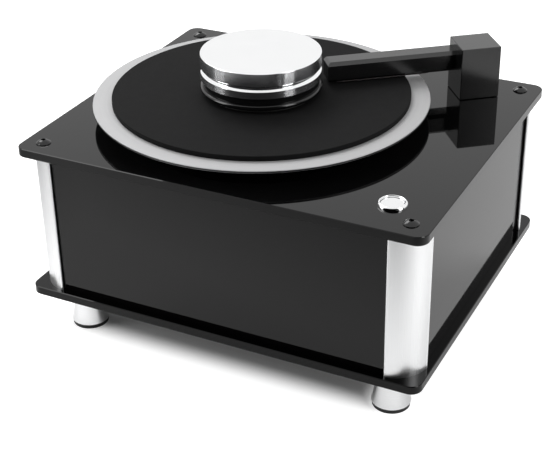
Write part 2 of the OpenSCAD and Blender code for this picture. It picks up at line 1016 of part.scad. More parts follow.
// Ring between the hub and the rim, centred on z = 0
module web_recess(h) {
    translate([0, 0, -h / 2])
        difference() {
            cylinder(r = driven_r - pulley_rim, h = h);
            bore(hub_r, 0, h);
        }
}

// Outline of the belt grown by a margin: round both pulleys, straight along their tangents
module belt_outline(margin) {
    step = 5;
    turn = 360;
    lean = asin((driven_r - drive_r) / motor_dist);
    big = driven_r + margin;
    small = drive_r + margin;
    start = 90 - lean;
    wide = [for (a = [start : step : turn - start]) [big * cos(a), big * sin(a)]];
    wide_end = [big * cos(start), -big * sin(start)];
    narrow = [for (a = [-start : step : start])
        [motor_dist + small * cos(a), small * sin(a)]];
    narrow_end = [motor_dist + small * cos(start), small * sin(start)];
    polygon(concat(wide, [wide_end], narrow, [narrow_end]));
}

module drive_belt() {
    color([0.05, 0.05, 0.05])
        translate([spindle_x, spindle_y, belt_z - belt_w / 2])
            rotate([0, 0, motor_turn])
                linear_extrude(belt_w)
                    difference() {
                        belt_outline(belt_gap + belt_t);
                        belt_outline(belt_gap);
                    }
}

// Closed gear motor with a boss around its shaft and a stepped lid
module motor() {
    color([0.35, 0.36, 0.38])
        translate([motor_x, motor_y, motor_plate_z + motor_plate_t])
            difference() {
                union() {
                    cylinder(r = motor_r, h = motor_h - motor_lid_h);
                    translate([0, 0, motor_h - motor_lid_h])
                        cylinder(r = motor_r - motor_lid_step, h = motor_lid_h);
                }
                pocket(motor_shaft_r + run_fit, 0, motor_shaft_in + motor_shaft_spare);
            }
}

module motor_plate() {
    color([0.65, 0.66, 0.68])
        translate([motor_x, motor_y, motor_plate_z])
            difference() {
                linear_extrude(motor_plate_t)
                    round_rect(motor_plate_w, motor_plate_w, motor_plate_r);
                bore(motor_shaft_r + motor_shaft_gap, 0, motor_plate_t);
            }
}

module motor_standoffs() {
    z = motor_plate_z + motor_plate_t;
    color([0.7, 0.7, 0.72])
        for (c = CORNERS)
            translate([motor_x + c[0] * standoff_at, motor_y + c[1] * standoff_at, z])
                cylinder(r = standoff_r, h = bay_top - z);
}

// Pulley pressed on the motor's shaft
module motor_pulley() {
    shaft_top = motor_plate_z + motor_plate_t + motor_shaft_in - belt_z;
    color([0.75, 0.76, 0.78])
        translate([motor_x, motor_y, belt_z]) {
            pulley_profile(drive_r, pulley_lip, 0);
            cylinder(r = motor_shaft_r, h = shaft_top);
        }
}

// Upper clamp disc with a rounded rim
module clamp_cap() {
    r = clamp_r;
    inner = r - cap_round;
    edge = [for (a = [0 : 15 : 90])
        [inner + cap_round * cos(a), cap_h - cap_round + cap_round * sin(a)]];
    foot = [[0, 0], [r - cap_foot_bevel, 0], [r, cap_foot_bevel]];
    color([0.85, 0.86, 0.88])
        translate([spindle_x, spindle_y, cap_z])
            rotate_extrude()
                polygon(concat(foot, edge, [[0, cap_h]]));
}

// Lower clamp disc: polished wall, wide bevel and neck under the upper disc, blind pin hole
module clamp_puck() {
    h = puck_h;
    r = clamp_r;
    neck = r - neck_in;
    rim = [
        [r, h - neck_in - neck_h], [neck, h - neck_h], [neck, h - neck_lip],
        [r - neck_lip, h]
    ];
    color([0.85, 0.86, 0.88])
        translate([spindle_x, spindle_y, puck_z])
            difference() {
                rotate_extrude()
                    polygon(concat([[0, 0], [r - puck_bevel, 0], [r, puck_bevel]], rim,
                        [[0, h]]));
                pocket(clamp_bore_r, 0, mat_top + pin_h + pin_room - puck_z);
            }
}

// Black flange with a rounded lower lip, wider than the discs
module clamp_flange() {
    r = clamp_r + flange_out;
    lip = flange_lip_r;
    under = [for (a = [-90 : 15 : 0]) [r - lip + lip * cos(a), lip + lip * sin(a)]];
    crown = [[r, flange_h - flange_bevel], [r - flange_bevel, flange_h]];
    color([0.05, 0.05, 0.05])
        translate([spindle_x, spindle_y, flange_z])
            rotate_extrude()
                polygon(concat([[clamp_bore_r, 0]], under, crown,
                    [[clamp_bore_r, flange_h]]));
}

module clamp_seal() {
    color([0.04, 0.04, 0.04])
        translate([spindle_x, spindle_y, seal_bottom])
            tube(seal_r, seal_r - seal_w, seal_h);
}

// Places its children in the frame of the arm's pivot
module at_arm() {
    translate([arm_x, arm_y, 0])
        rotate([0, 0, arm_turn])
            children();
}

// Block on the pivot, with a socket for the tube and a duct into the bar
module arm_block() {
    bottom = deck + block_gap;
    color([0.1, 0.1, 0.11])
        at_arm()
            difference() {
                translate([0, 0, bottom])
                    bevel_block(block_l, block_w, block_h - block_gap, block_bevel);
                pocket(tube_r + seat_fit, bottom, socket_depth);
                pocket(tube_bore_r, bottom, bar_bottom + bar_wall + duct_h - bottom);
                translate([0, bar_mid - duct_w / 2, bar_bottom + bar_wall])
                    cube([block_l, duct_w, duct_h]);
            }
}

// Cross-section of the bar, with its bevels: x is the side, y is up
module bar_section() {
    y0 = bar_side;
    y1 = bar_side + bar_w;
    c = bar_back_bevel;
    b = bar_bevel;
    polygon([
        [y0 + c, 0], [y1 - b, 0], [y1, b], [y1, bar_h - b], [y1 - b, bar_h], [y0 + c, bar_h],
        [y0, bar_h - c], [y0, c]
    ]);
}

// Bar section run along the arm between two distances from the pivot
module bar_run(from, to) {
    translate([from, 0, bar_bottom])
        rotate([90, 0, 90])
            linear_extrude(to - from)
                bar_section();
}

// Bevelled rectangle run along the middle of the bar
module duct_run(from, to, gap) {
    translate([from, bar_mid, bar_bottom + bar_h / 2])
        rotate([90, 0, 90])
            linear_extrude(to - from)
                bevel_rect(duct_w - 2 * gap, duct_h - 2 * gap, bar_inner_bevel);
}

// Hollow suction bar, open at both ends, with the slot in its underside
module arm_bar() {
    color([0.1, 0.1, 0.11])
        at_arm()
            difference() {
                bar_run(bar_start, arm_reach - end_cap_l);
                duct_run(bar_start - over, arm_reach, 0);
                translate([slot_start, bar_mid - slot_w / 2, bar_bottom - over])
                    cube([slot_end - slot_start, slot_w, bar_wall + 2 * over]);
            }
}

// Plug that closes the bar, bevelled at the tip
module arm_end_cap() {
    b = end_cap_bevel;
    tip = arm_reach;
    back = tip - end_cap_l;
    color([0.1, 0.1, 0.11])
        at_arm() {
            intersection() {
                bar_run(back, tip);
                translate([0, bar_side + bar_w, bar_bottom])
                    rotate([90, 0, 0])
                        linear_extrude(bar_w)
                            polygon([
                                [back, 0], [tip - b, 0], [tip, b], [tip, bar_h - b],
                                [tip - b, bar_h], [back, bar_h]
                            ]);
            }
            duct_run(back - end_cap_plug, back, end_cap_fit);
        }
}

// Velvet strips on both sides of the slot
module arm_lips() {
    length = slot_end - slot_start + 2 * lip_over;
    aside = slot_w / 2 + lip_gap_side + lip_w / 2;
    color([0.08, 0.05, 0.05])
        at_arm()
            for (s = [-1, 1])
                translate([(slot_start + slot_end) / 2, bar_mid + s * aside, bar_bottom - lip_t])
                    linear_extrude(lip_t)
                        round_rect(length, lip_w, lip_round);
}

module pivot_tube() {
    top = deck + block_gap + socket_depth;
    color([0.75, 0.76, 0.78])
        translate([arm_x, arm_y, tube_bottom])
            tube(tube_r, tube_bore_r, top - tube_bottom);
}

// Rings on the tube that trap the collar between them
module pivot_clips() {
    color([0.5, 0.5, 0.52])
        translate([arm_x, arm_y, 0])
            for (z = [collar_top + face_gap, collar_top - collar_h - face_gap - clip_h])
                translate([0, 0, z])
                    tube(tube_r + clip_w, tube_r + seat_fit, clip_h);
}

// Bearing of the arm under the top plate, with the pin that keeps the collar from turning
module arm_bearing() {
    pin_bottom = collar_top - collar_h - guide_spare;
    color([0.62, 0.63, 0.65])
        translate([arm_x, arm_y, 0]) {
            bearing(arm_housing_r, arm_bore_r, arm_flange_r, deck, arm_housing_l,
                arm_screw_at);
            translate([-guide_at, 0, pin_bottom])
                cylinder(r = guide_r, h = bay_top - housing_flange_h - pin_bottom);
        }
}

module arm_bushes() {
    color([0.72, 0.55, 0.25])
        translate([arm_x, arm_y, 0])
            for (z = [deck - arm_housing_l, deck - bush_l])
                translate([0, 0, z])
                    tube(arm_bore_r - seat_fit, tube_r + run_fit, bush_l);
}

// Collar that rides up and down on the guide pin while the tube turns in it
module lift_collar() {
    color([0.3, 0.3, 0.32])
        translate([arm_x, arm_y, collar_top - collar_h])
            difference() {
                union() {
                    cylinder(r = collar_r, h = collar_h);
                    translate([-guide_at, 0, 0])
                        cylinder(r = guide_r + ear_wall, h = collar_h);
                }
                bore(tube_r + run_fit, 0, collar_h);
                translate([-guide_at, 0, 0])
                    bore(guide_r + run_fit, 0, collar_h);
            }
}

// Barbed end of a pipe along +Z, with a ridge for the hose
module barb(length) {
    rotate_extrude()
        polygon([
            [barb_bore_r, 0], [hose_bore_r, 0], [hose_bore_r, length - barb_tip],
            [hose_bore_r - barb_tip, length], [barb_bore_r, length]
        ]);
}

// Column that stands on the base, seals around the turning tube and leads its air aside
module swivel_elbow() {
    color([0.16, 0.16, 0.17])
        translate([arm_x, arm_y, 0]) {
            difference() {
                translate([0, 0, base_top])
                    cylinder(r = elbow_r, h = elbow_top - base_top);
                translate([0, 0, base_top + elbow_floor])
                    cylinder(r = tube_r + seal_room, h = elbow_top - base_top);
                translate([0, 0, elbow_port_z])
                    rotate([0, -90, 0])
                        cylinder(r = barb_bore_r, h = elbow_r + over);
            }
            translate([-elbow_r + barb_root, 0, elbow_port_z])
                rotate([0, -90, 0])
                    barb(elbow_barb_l);
        }
}

// Straight hose between the column and the tank
module inlet_hose() {
    start = arm_x - elbow_r - hose_play;
    end = tank_x + tank_w / 2 + hose_play;
    color([0.07, 0.07, 0.07])
        translate([start, arm_y, elbow_port_z])
            rotate([0, -90, 0])
                tube(hose_r, hose_bore_r + seat_fit, start - end);
}

// Open tank that parts the dirty fluid from the air
module waste_tank() {
    r = tank_r;
    in_w = tank_w - 2 * tank_wall;
    in_d = tank_d - 2 * tank_wall;
    right = tank_w / 2;
    color([0.75, 0.76, 0.74])
        translate([tank_x, tank_y, base_top]) {
            difference() {
                linear_extrude(tank_h)
                    round_rect(tank_w, tank_d, r);
                translate([0, 0, tank_wall])
                    linear_extrude(tank_h)
                        round_rect(in_w, in_d, r - tank_wall);
                translate([right - tank_wall - over, arm_y - tank_y, elbow_port_z - base_top])
                    rotate([0, 90, 0])
                        cylinder(r = barb_bore_r, h = tank_wall + 2 * over);
                translate([0, tank_d / 2 + over, drain_z - base_top])
                    rotate([90, 0, 0])
                        cylinder(r = drain_r + seat_fit, h = tank_wall + 2 * over);
            }
            translate([right, arm_y - tank_y, elbow_port_z - base_top])
                rotate([0, 90, 0])
                    barb(tank_barb_l);
        }
}

// Lid with the outlet to the turbine
module tank_lid() {
    x = lid_barb_x - tank_x;
    y = lid_barb_y - tank_y;
    color([0.2, 0.2, 0.21])
        translate([tank_x, tank_y, base_top + tank_h]) {
            difference() {
                linear_extrude(lid_t)
                    round_rect(tank_w, tank_d, tank_r);
                translate([x, y, 0])
                    bore(barb_bore_r, 0, lid_t);
            }
            translate([x, y, lid_t])
                barb(barb_l);
        }
}

// Drain pipe from the tank's foot out through the rear panel
module drain_spigot() {
    start = tank_y + tank_d / 2 - tank_wall;
    length = panel_y + drain_proud - start;
    color([0.55, 0.56, 0.58])
        translate([tank_x, start, drain_z])
            rotate([-90, 0, 0])
                difference() {
                    union() {
                        cylinder(r = drain_r, h = length);
                        translate([0, 0, tank_wall])
                            cylinder(r = drain_r + drain_collar_w, h = drain_collar_h);
                    }
                    bore(drain_r - drain_wall, 0, length);
                }
}

// Cap over the drain pipe, with finger ribs
module drain_cap() {
    outer = drain_r + drain_collar_w;
    height = drain_cap_depth + drain_cap_wall;
    color([0.06, 0.06, 0.06])
        translate([tank_x, panel_y + drain_cap_gap, drain_z])
            rotate([-90, 0, 0])
                difference() {
                    cylinder(r = outer, h = height);
                    pocket(drain_r + run_fit, 0, drain_cap_depth);
                    for (i = [0 : rib_count - 1])
                        rotate([0, 0, i * 360 / rib_count])
                            translate([outer + rib_out, 0, 0])
                                bore(rib_r, 0, height);
                }
}

// Hose from the lid up, along under the top plate and down to the turbine
module vacuum_hose() {
    b = hose_bend_r;
    lid_end = lid_top + hose_seat;
    turbine_end = turbine_top + hose_seat;
    run = lid_barb_y - turbine_y - 2 * b;
    bend_z = hose_z - b;
    color([0.07, 0.07, 0.07])
        translate([lid_barb_x, 0, 0]) {
            translate([0, lid_barb_y, lid_end])
                tube(hose_r, hose_bore_r + seat_fit, bend_z - lid_end);
            translate([0, turbine_y, turbine_end])
                tube(hose_r, hose_bore_r + seat_fit, bend_z - turbine_end);
            translate([0, turbine_y + b + run, hose_z])
                rotate([90, 0, 0])
                    tube(hose_r, hose_bore_r + seat_fit, run);
            translate([0, lid_barb_y - b, bend_z])
                rotate([90, 0, 90])
                    hose_bend();
            translate([0, turbine_y + b, bend_z])
                rotate([90, 0, -90])
                    hose_bend();
        }
}

// Quarter turn of the hose
module hose_bend() {
    rotate_extrude(angle = 90)
        translate([hose_bend_r, 0])
            difference() {
                circle(r = hose_r);
                circle(r = hose_bore_r + seat_fit);
            }
}

// Closed vacuum motor: fan housing on top, motor can below, inlet pipe and side outlet
module turbine() {
    r = turbine_r;
    h = turbine_h;
    fan_mid = (can_h + h) / 2;
    can = [[0, 0], [can_r - can_edge, 0], [can_r, can_edge], [can_r, can_h]];
    fan = [
        [r - fan_edge, can_h], [r, can_h + fan_edge], [r, h - fan_shoulder],
        [r - fan_step, h - fan_slope], [r - fan_crown, h], [0, h]
    ];
    color([0.62, 0.63, 0.65])
        translate([turbine_x, turbine_y, turbine_z]) {
            difference() {
                union() {
                    rotate_extrude()
                        polygon(concat(can, fan));
                    translate([0, 0, fan_mid])
                        rotate([90, 0, 0])
                            cylinder(r = exhaust_r, h = r + exhaust_l);
                }
                translate([0, exhaust_l - r, fan_mid])
                    rotate([90, 0, 0])
                        cylinder(r = exhaust_bore_r, h = 2 * exhaust_l + over);
                translate([0, 0, h - turbine_eye])
                    cylinder(r = barb_bore_r, h = turbine_eye + over);
                for (a = [0 : 30 : 330])
                    rotate([0, 0, a])
                        translate([can_r, 0, can_h / 2])
                            cube([can_slot_deep, can_slot_w, can_h / 2], center = true);
            }
            translate([0, 0, h])
                barb(barb_l);
        }
}

// Three waisted rubber buffers under the motor can
module turbine_buffers() {
    r = buffer_r;
    h = buffer_h;
    color([0.06, 0.06, 0.06])
        translate([turbine_x, turbine_y, base_top])
            for (a = [0 : 120 : 240])
                rotate([0, 0, a])
                    translate([buffer_at, 0, 0])
                        rotate_extrude()
                            polygon([[0, 0], [r, 0], [r - buffer_waist, h / 2], [r, h], [0, h]]);
}

// Power and control board on four pillars: transformer, two capacitors and a heat sink
module circuit_board() {
    w = board_w;
    d = board_d;
    top = pillar_h + board_t;
    sink_w = (fin_count - 1) * fin_pitch + fin_t;
    color([0.08, 0.3, 0.16])
        translate([board_x, board_y, base_top]) {
            for (c = CORNERS)
                translate([c[0] * (w / 2 - pillar_edge), c[1] * (d / 2 - pillar_edge), 0])
                    cylinder(r = pillar_r, h = pillar_h);
            translate([-w / 2, -d / 2, pillar_h])
                cube([w, d, board_t]);
            translate([transformer_at[0], transformer_at[1], top])
                bevel_block(transformer[0], transformer[1], transformer[2], transformer_bevel);
            for (i = [0, 1])
                translate([capacitor_at[0] + i * capacitor_pitch, capacitor_at[1], top])
                    cylinder(r = capacitor_r, h = capacitor_h);
            for (i = [0 : fin_count - 1])
                translate([i * fin_pitch, fin_y, top])
                    cube([fin_t, fin_d, fin_h]);
            translate([0, fin_y, top])
                cube([sink_w, fin_d, fin_base]);
        }
}

// Mains inlet: flange on the rear panel, recess for the plug and three blades
module mains_inlet() {
    w = inlet_w;
    h = inlet_h;
    floor_z = trim_t - recess_d;
    blades = [[0, -blade_up], [-blade_aside, blade_down], [blade_aside, blade_down]];
    color([0.05, 0.05, 0.05])
        translate([inlet_x, panel_y, fitting_z])
            rotate([-90, 0, 0]) {
                difference() {
                    union() {
                        linear_extrude(trim_t)
                            round_rect(w + 2 * inlet_rim_x, h + 2 * inlet_rim_z, inlet_corner);
                        translate([0, 0, -inlet_depth])
                            linear_extrude(inlet_depth)
                                bevel_rect(w, h, inlet_bevel);
                    }
                    translate([0, 0, floor_z])
                        linear_extrude(recess_d + over)
                            bevel_rect(w - 2 * recess_wall_x, h - 2 * recess_wall_z, inlet_bevel);
                }
                for (p = blades)
                    translate([p[0] - blade[0] / 2, p[1] - blade[1] / 2, floor_z])
                        cube(blade);
            }
}

// Frame of the mains switch, open to the rear, with bores for the rocker's pins
module switch_frame() {
    w = frame_w;
    h = frame_h;
    well = [w - 2 * frame_wall, well_d + over, h - 2 * frame_wall];
    hole = w / 2 - frame_wall + rocker_pin_in + rocker_pin_play;
    color([0.05, 0.05, 0.05])
        difference() {
            translate([rocker_x, panel_y, fitting_z])
                rotate([-90, 0, 0]) {
                    linear_extrude(trim_t)
                        round_rect(w + 2 * frame_rim, h + 2 * frame_rim, frame_corner);
                    translate([0, 0, -frame_depth])
                        linear_extrude(frame_depth)
                            square([w, h], center = true);
                }
            translate([rocker_x, panel_y + trim_t - well_d / 2 + over / 2, fitting_z])
                cube(well, center = true);
            translate([rocker_x - hole, rocker_pin_y, fitting_z])
                rotate([0, 90, 0])
                    cylinder(r = rocker_pin_r + run_fit, h = 2 * hole);
        }
}

// Rocker with two slanted faces, tilted to its off position
module switch_rocker() {
    half = frame_h / 2 - frame_wall - rocker_play;
    width = frame_w - 2 * (frame_wall + rocker_gap);
    pin = frame_w / 2 - frame_wall + rocker_pin_in;
    color([0.08, 0.08, 0.08])
        translate([rocker_x, rocker_pin_y, fitting_z])
            rotate([-rocker_tilt, 0, 0]) {
                rotate([90, 0, 90])
                    translate([0, 0, -width / 2])
                        linear_extrude(width)
                            polygon([
                                [-rocker_back, -rocker_back_h], [-rocker_skirt, -half],
                                [rocker_face, -half], [rocker_face - rocker_dip, 0],
                                [rocker_face, half], [-rocker_skirt, half],
                                [-rocker_back, rocker_back_h]
                            ]);
                translate([-pin, 0, 0])
                    rotate([0, 90, 0])
                        cylinder(r = rocker_pin_r, h = 2 * pin);
            }
}

// Bezel and threaded barrel of the push button
module button_bezel() {
    bottom = deck - barrel_l;
    r = bezel_r;
    e = bezel_round;
    color([0.85, 0.86, 0.88])
        translate([button_x, button_y, 0])
            difference() {
                union() {
                    translate([0, 0, bottom])
                        cylinder(r = barrel_r, h = barrel_l);
                    translate([0, 0, deck])
                        rotate_extrude()
                            polygon([
                                [0, 0], [r, 0], [r, bezel_h - e], [r - e, bezel_h], [0, bezel_h]
                            ]);
                }
                translate([0, 0, well_floor])
                    cylinder(r = cap_r + cap_gap, h = deck + bezel_h - well_floor + over);
                translate([0, 0, bottom + switch_h])
                    cylinder(r = stem_r + run_fit, h = well_floor - bottom);
            }
}

// Pressed cap with its guide stem
module button_cap() {
    drop = cap_travel + cap_stop;
    bottom = well_floor + drop;
    stem_bottom = deck - barrel_l + switch_h + drop;
    h = cap_disc_h;
    r = cap_r;
    e = cap_edge;
    color([0.88, 0.89, 0.9])
        translate([button_x, button_y, 0]) {
            translate([0, 0, bottom])
                rotate_extrude()
                    polygon([
                        [0, 0], [r, 0], [r, h - e[0]], [r - e[0], h - e[1]], [r - cap_crown, h],
                        [0, h]
                    ]);
            translate([0, 0, stem_bottom])
                cylinder(r = stem_r, h = bottom - stem_bottom);
        }
}

module button_nut() {
    color([0.7, 0.7, 0.72])
        translate([button_x, button_y, bay_top - button_nut_h])
            difference() {
                cylinder(r = button_nut_r, h = button_nut_h, $fn = 6);
                bore(barrel_r + thread_fit, 0, button_nut_h);
            }
}

base_plate();
top_plate();
front_panel();
rear_panel();
left_panel();
right_panel();
post([-1, -1], [0.8, 0.81, 0.82]);  // post_front_left
post([1, -1], [0.8, 0.81, 0.82]);  // post_front_right
post([-1, 1], [0.8, 0.81, 0.82]);  // post_rear_left
post([1, 1], [0.8, 0.81, 0.82]);  // post_rear_right
foot([-1, -1]);  // foot_front_left
foot([1, -1]);  // foot_front_right
foot([-1, 1]);  // foot_rear_left
foot([1, 1]);  // foot_rear_right
foot_pads();
foot_nuts();
plate_screws();
flange_screws();
bearing_housing();
bearing_bushes();
thrust_washer();
spindle();
sub_platter();
platter();
record_mat();
driven_pulley();
drive_belt();
motor();
motor_plate();
motor_standoffs();
motor_pulley();
clamp_cap();
clamp_puck();
clamp_flange();
clamp_seal();
arm_block();
arm_bar();
arm_end_cap();
arm_lips();
pivot_tube();
pivot_clips();
arm_bearing();
arm_bushes();
lift_collar();
swivel_elbow();
inlet_hose();
waste_tank();
tank_lid();
drain_spigot();
drain_cap();
vacuum_hose();
turbine();
turbine_buffers();
circuit_board();
mains_inlet();
switch_frame();
switch_rocker();
button_bezel();
button_cap();
button_nut();
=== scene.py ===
# %% [markdown]
# # A record cleaning machine, dressed for its picture
# The machine is a black acrylic case on four turned feet. A bright disc with a dark mat
# carries the record, a heavy clamp holds it, and a hollow arm sucks the dirty fluid off.
# The solids come from the CAD model. This file gives them their finishes, makes the arm's
# two velvet strips and two turned rings, and sets up the paper, the room, the lamps and the
# camera.

# %% Load the frame
import math

import bpy
import numpy as np
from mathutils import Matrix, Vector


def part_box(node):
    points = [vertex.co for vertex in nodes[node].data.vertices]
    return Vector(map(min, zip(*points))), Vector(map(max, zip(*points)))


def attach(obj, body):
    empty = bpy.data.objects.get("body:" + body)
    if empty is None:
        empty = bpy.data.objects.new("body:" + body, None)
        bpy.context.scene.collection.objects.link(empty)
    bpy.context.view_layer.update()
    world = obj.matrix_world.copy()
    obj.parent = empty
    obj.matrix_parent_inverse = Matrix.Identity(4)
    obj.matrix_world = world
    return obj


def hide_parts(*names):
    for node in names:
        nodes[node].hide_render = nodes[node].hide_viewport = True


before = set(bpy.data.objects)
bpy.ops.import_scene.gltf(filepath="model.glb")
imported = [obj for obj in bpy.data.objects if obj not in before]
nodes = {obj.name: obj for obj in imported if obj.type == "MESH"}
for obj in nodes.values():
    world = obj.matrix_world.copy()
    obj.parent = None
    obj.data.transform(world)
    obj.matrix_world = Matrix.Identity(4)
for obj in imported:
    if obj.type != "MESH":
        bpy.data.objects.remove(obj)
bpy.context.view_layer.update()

# %% [markdown]
# ## Smooth shading
# The CAD solids arrive as flat facets. On a mirror-like rim each facet would show as a
# stripe, so the faces are shaded smoothly wherever two of them meet at a small angle. A
# subdivision would round the crisp bevels as well, so the angle decides.

# %% Shade by angle
SMOOTH_ANGLE = math.radians(28)


def shade_by_angle(piece, angle=SMOOTH_ANGLE):
    """Edges sharper than the angle stay crisp, and all the others are shaded round."""
    mesh = piece.data
    mesh.polygons.foreach_set("use_smooth", np.ones(len(mesh.polygons), dtype=bool))
    mesh.set_sharp_from_angle(angle=angle)


for piece in nodes.values():
    shade_by_angle(piece)
print("shaded by angle:", len(nodes))

# %% [markdown]
# ## Where every finish starts
# Each finish is one Principled shader. A value that is the same all over sits on the
# shader's own socket, so that it also survives an export, and only what varies over the
# surface comes from other nodes.

# %% A plain finish
def new_finish(name, color, metallic=0.0, roughness=0.5, **sockets):
    """A Principled material with its uniform values set, and the handles to add a grain."""
    material = bpy.data.materials.new(name)
    material.use_nodes = True
    tree = material.node_tree
    shader = tree.nodes["Principled BSDF"]
    shader.inputs["Base Color"].default_value = (*color, 1.0)
    shader.inputs["Metallic"].default_value = metallic
    shader.inputs["Roughness"].default_value = roughness
    for socket, value in sockets.items():
        shader.inputs[socket.replace("_", " ")].default_value = value
    return material, tree, shader


print("a finish starts from one shader")

# %% [markdown]
# ## Grain
# No real surface is perfectly even. Each one has a grain, which is noise worked out from
# Object coordinates, so that it stays on the piece when a joint moves it. The same noise can
# drive the gloss, the colour or the relief.

# %% Grain
NOISE_LOW, NOISE_HIGH = 0.3, 0.7


def place(tree, scale=(1.0, 1.0, 1.0), shift=(0.0, 0.0, 0.0)):
    """Object coordinates, moved by shift and then multiplied by scale."""
    coords = tree.nodes.new("ShaderNodeTexCoord")
    mapping = tree.nodes.new("ShaderNodeMapping")
    mapping.inputs["Location"].default_value = tuple(
        s * k for s, k in zip(shift, scale))
    mapping.inputs["Scale"].default_value = scale
    tree.links.new(coords.outputs["Object"], mapping.inputs["Vector"])
    return mapping.outputs["Vector"]


def grain(tree, vector, cells, detail=3.0, rough=0.55):
    """Noise mostly between NOISE_LOW and NOISE_HIGH, with so many cells a metre."""
    noise = tree.nodes.new("ShaderNodeTexNoise")
    noise.inputs["Scale"].default_value = cells
    noise.inputs["Detail"].default_value = detail
    noise.inputs["Roughness"].default_value = rough
    tree.links.new(vector, noise.inputs["Vector"])
    return noise.outputs["Fac"]


def spread(tree, factor, low, high, from_low=NOISE_LOW, from_high=NOISE_HIGH, curve="LINEAR"):
    """The factor stretched from its own range to low and high."""
    node = tree.nodes.new("ShaderNodeMapRange")
    node.interpolation_type = curve
    node.inputs["From Min"].default_value = from_low
    node.inputs["From Max"].default_value = from_high
    node.inputs["To Min"].default_value = low
    node.inputs["To Max"].default_value = high
    tree.links.new(factor, node.inputs["Value"])
    return node.outputs["Result"]


print("grain ready")

# %% [markdown]
# ## What the grain drives
# A finish gets its grain in three ways: in the colour, in the relief, and in the gloss, for
# which spread is linked to the roughness.

# %% Colour and relief
def tint(tree, factor, dark, light, shader):
    """The base colour runs from dark to light with the factor."""
    ramp = tree.nodes.new("ShaderNodeValToRGB")
    ramp.color_ramp.elements[0].position = NOISE_LOW
    ramp.color_ramp.elements[0].color = (*dark, 1.0)
    ramp.color_ramp.elements[1].position = NOISE_HIGH
    ramp.color_ramp.elements[1].color = (*light, 1.0)
    tree.links.new(factor, ramp.inputs["Fac"])
    tree.links.new(ramp.outputs["Color"], shader.inputs["Base Color"])


def gloss(tree, factor, low, high, shader):
    """The roughness runs from low to high with the factor."""
    tree.links.new(spread(tree, factor, low, high), shader.inputs["Roughness"])


def relief(tree, factor, height, shader):
    """Bumps of about that height in metres."""
    bump = tree.nodes.new("ShaderNodeBump")
    bump.inputs["Strength"].default_value = 1.0
    bump.inputs["Distance"].default_value = height
    tree.links.new(factor, bump.inputs["Height"])
    tree.links.new(bump.outputs["Normal"], shader.inputs["Normal"])


def shades(color, dark, light):
    """The colour times dark and times light, neither brighter than white."""
    return [tuple(min(1.0, c * part) for c in color) for part in (dark, light)]


print("colour, gloss and relief ready")

# %% [markdown]
# ## Sums in nodes
# The paper and the room work with distances and directions. Two helpers write one Math or
# Vector Math node each, so that a formula reads as a formula.

# %% Sums
def feed(tree, node, values):
    """Each value is linked where it is a socket, and typed in where it is a number."""
    for value, entry in zip(values, node.inputs):
        if isinstance(value, bpy.types.NodeSocket):
            tree.links.new(value, entry)
        else:
            entry.default_value = value


def maths(tree, operation, *values):
    """One Math node."""
    node = tree.nodes.new("ShaderNodeMath")
    node.operation = operation
    feed(tree, node, values)
    return node.outputs[0]


def vectors(tree, operation, *values):
    """One Vector Math node, which gives a number for a length or a dot product."""
    node = tree.nodes.new("ShaderNodeVectorMath")
    node.operation = operation
    feed(tree, node, values)
    return node.outputs["Value" if operation in ("LENGTH", "DOT_PRODUCT") else "Vector"]


def xyz(tree, vector):
    """The X, Y and Z of a vector."""
    node = tree.nodes.new("ShaderNodeSeparateXYZ")
    tree.links.new(vector, node.inputs["Vector"])
    return node.outputs


print("sums ready")

# %% [markdown]
# ## Putting a finish on
# A CAD node wears one finish, or two where its sides look different from its top. Which
# face is a side is read from its normal.

# %% Wear
SIDE_SLOPE = 0.5


def wear(piece_names, material):
    """The finish is put on every CAD node in the list."""
    for name in piece_names.split():
        mesh = nodes[name].data
        mesh.materials.clear()
        mesh.materials.append(material)


def wear_sides(name, material):
    """A second finish on the node's faces whose normal rises or falls less than the slope."""
    mesh = nodes[name].data
    mesh.materials.append(material)
    normals = np.zeros(len(mesh.polygons) * 3, np.float32)
    mesh.polygons.foreach_get("normal", normals)
    side = np.abs(normals.reshape(-1, 3)[:, 2]) < SIDE_SLOPE
    slots = np.where(side, len(mesh.materials) - 1, 0)
    mesh.polygons.foreach_set("material_index", slots.astype(np.int32))


def centre_of(name):
    """Middle of a node's box, seen from above."""
    low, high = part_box(name)
    return ((low.x + high.x) / 2, (low.y + high.y) / 2)


SPINDLE = centre_of("platter")
BUTTON = centre_of("button_bezel")
print("spindle at", [round(v, 4) for v in SPINDLE], "button at", [round(v, 4) for v in BUTTON])

# %% [markdown]
# ## Black acrylic
# The two plates are polished acrylic: black all through, with a clear, mirror-like skin
# that shows the platter and the arm upside down. A real sheet is never quite flat or quite
# clean, so its gloss drifts a little and its skin has a long, low wave.

# %% Acrylic
def acrylic(name, color, rough_low, rough_high, wave, mirror):
    """Near-black with a wide, soft drift in gloss and a wave some centimetres long. The
    index of refraction says how strongly the skin mirrors."""
    material, tree, shader = new_finish(name, color, IOR=mirror)
    where = place(tree)
    gloss(tree, grain(tree, where, cells=18.0), rough_low, rough_high, shader)
    tint(tree, grain(tree, where, cells=60.0), *shades(color, 0.85, 1.15), shader)
    relief(tree, grain(tree, where, cells=9.0, detail=1.0), wave, shader)
    return material


wear("top_plate", acrylic("plate_acrylic", (0.0015, 0.0015, 0.0016), 0.015, 0.04, 0.00003, 1.37))
wear("base_plate", acrylic("base_acrylic", (0.0010, 0.0010, 0.0011), 0.015, 0.04, 0.00003, 1.31))
wear("front_panel rear_panel left_panel right_panel",
     acrylic("panel_acrylic", (0.002, 0.0018, 0.002), 0.04, 0.08, 0.00004, 1.38))
print("acrylic on 2 plates and 4 panels")

# %% [markdown]
# ## Drawn metal
# The corner posts are drawn through a die, so their fine lines run upwards. The lines are
# noise in stretched coordinates: Z is squeezed, and so every cell becomes a long streak.

# %% Drawn metal
LINES_ACROSS = 2600.0
LINES_ALONG = 6.0
LINE_DEPTH = 0.000004


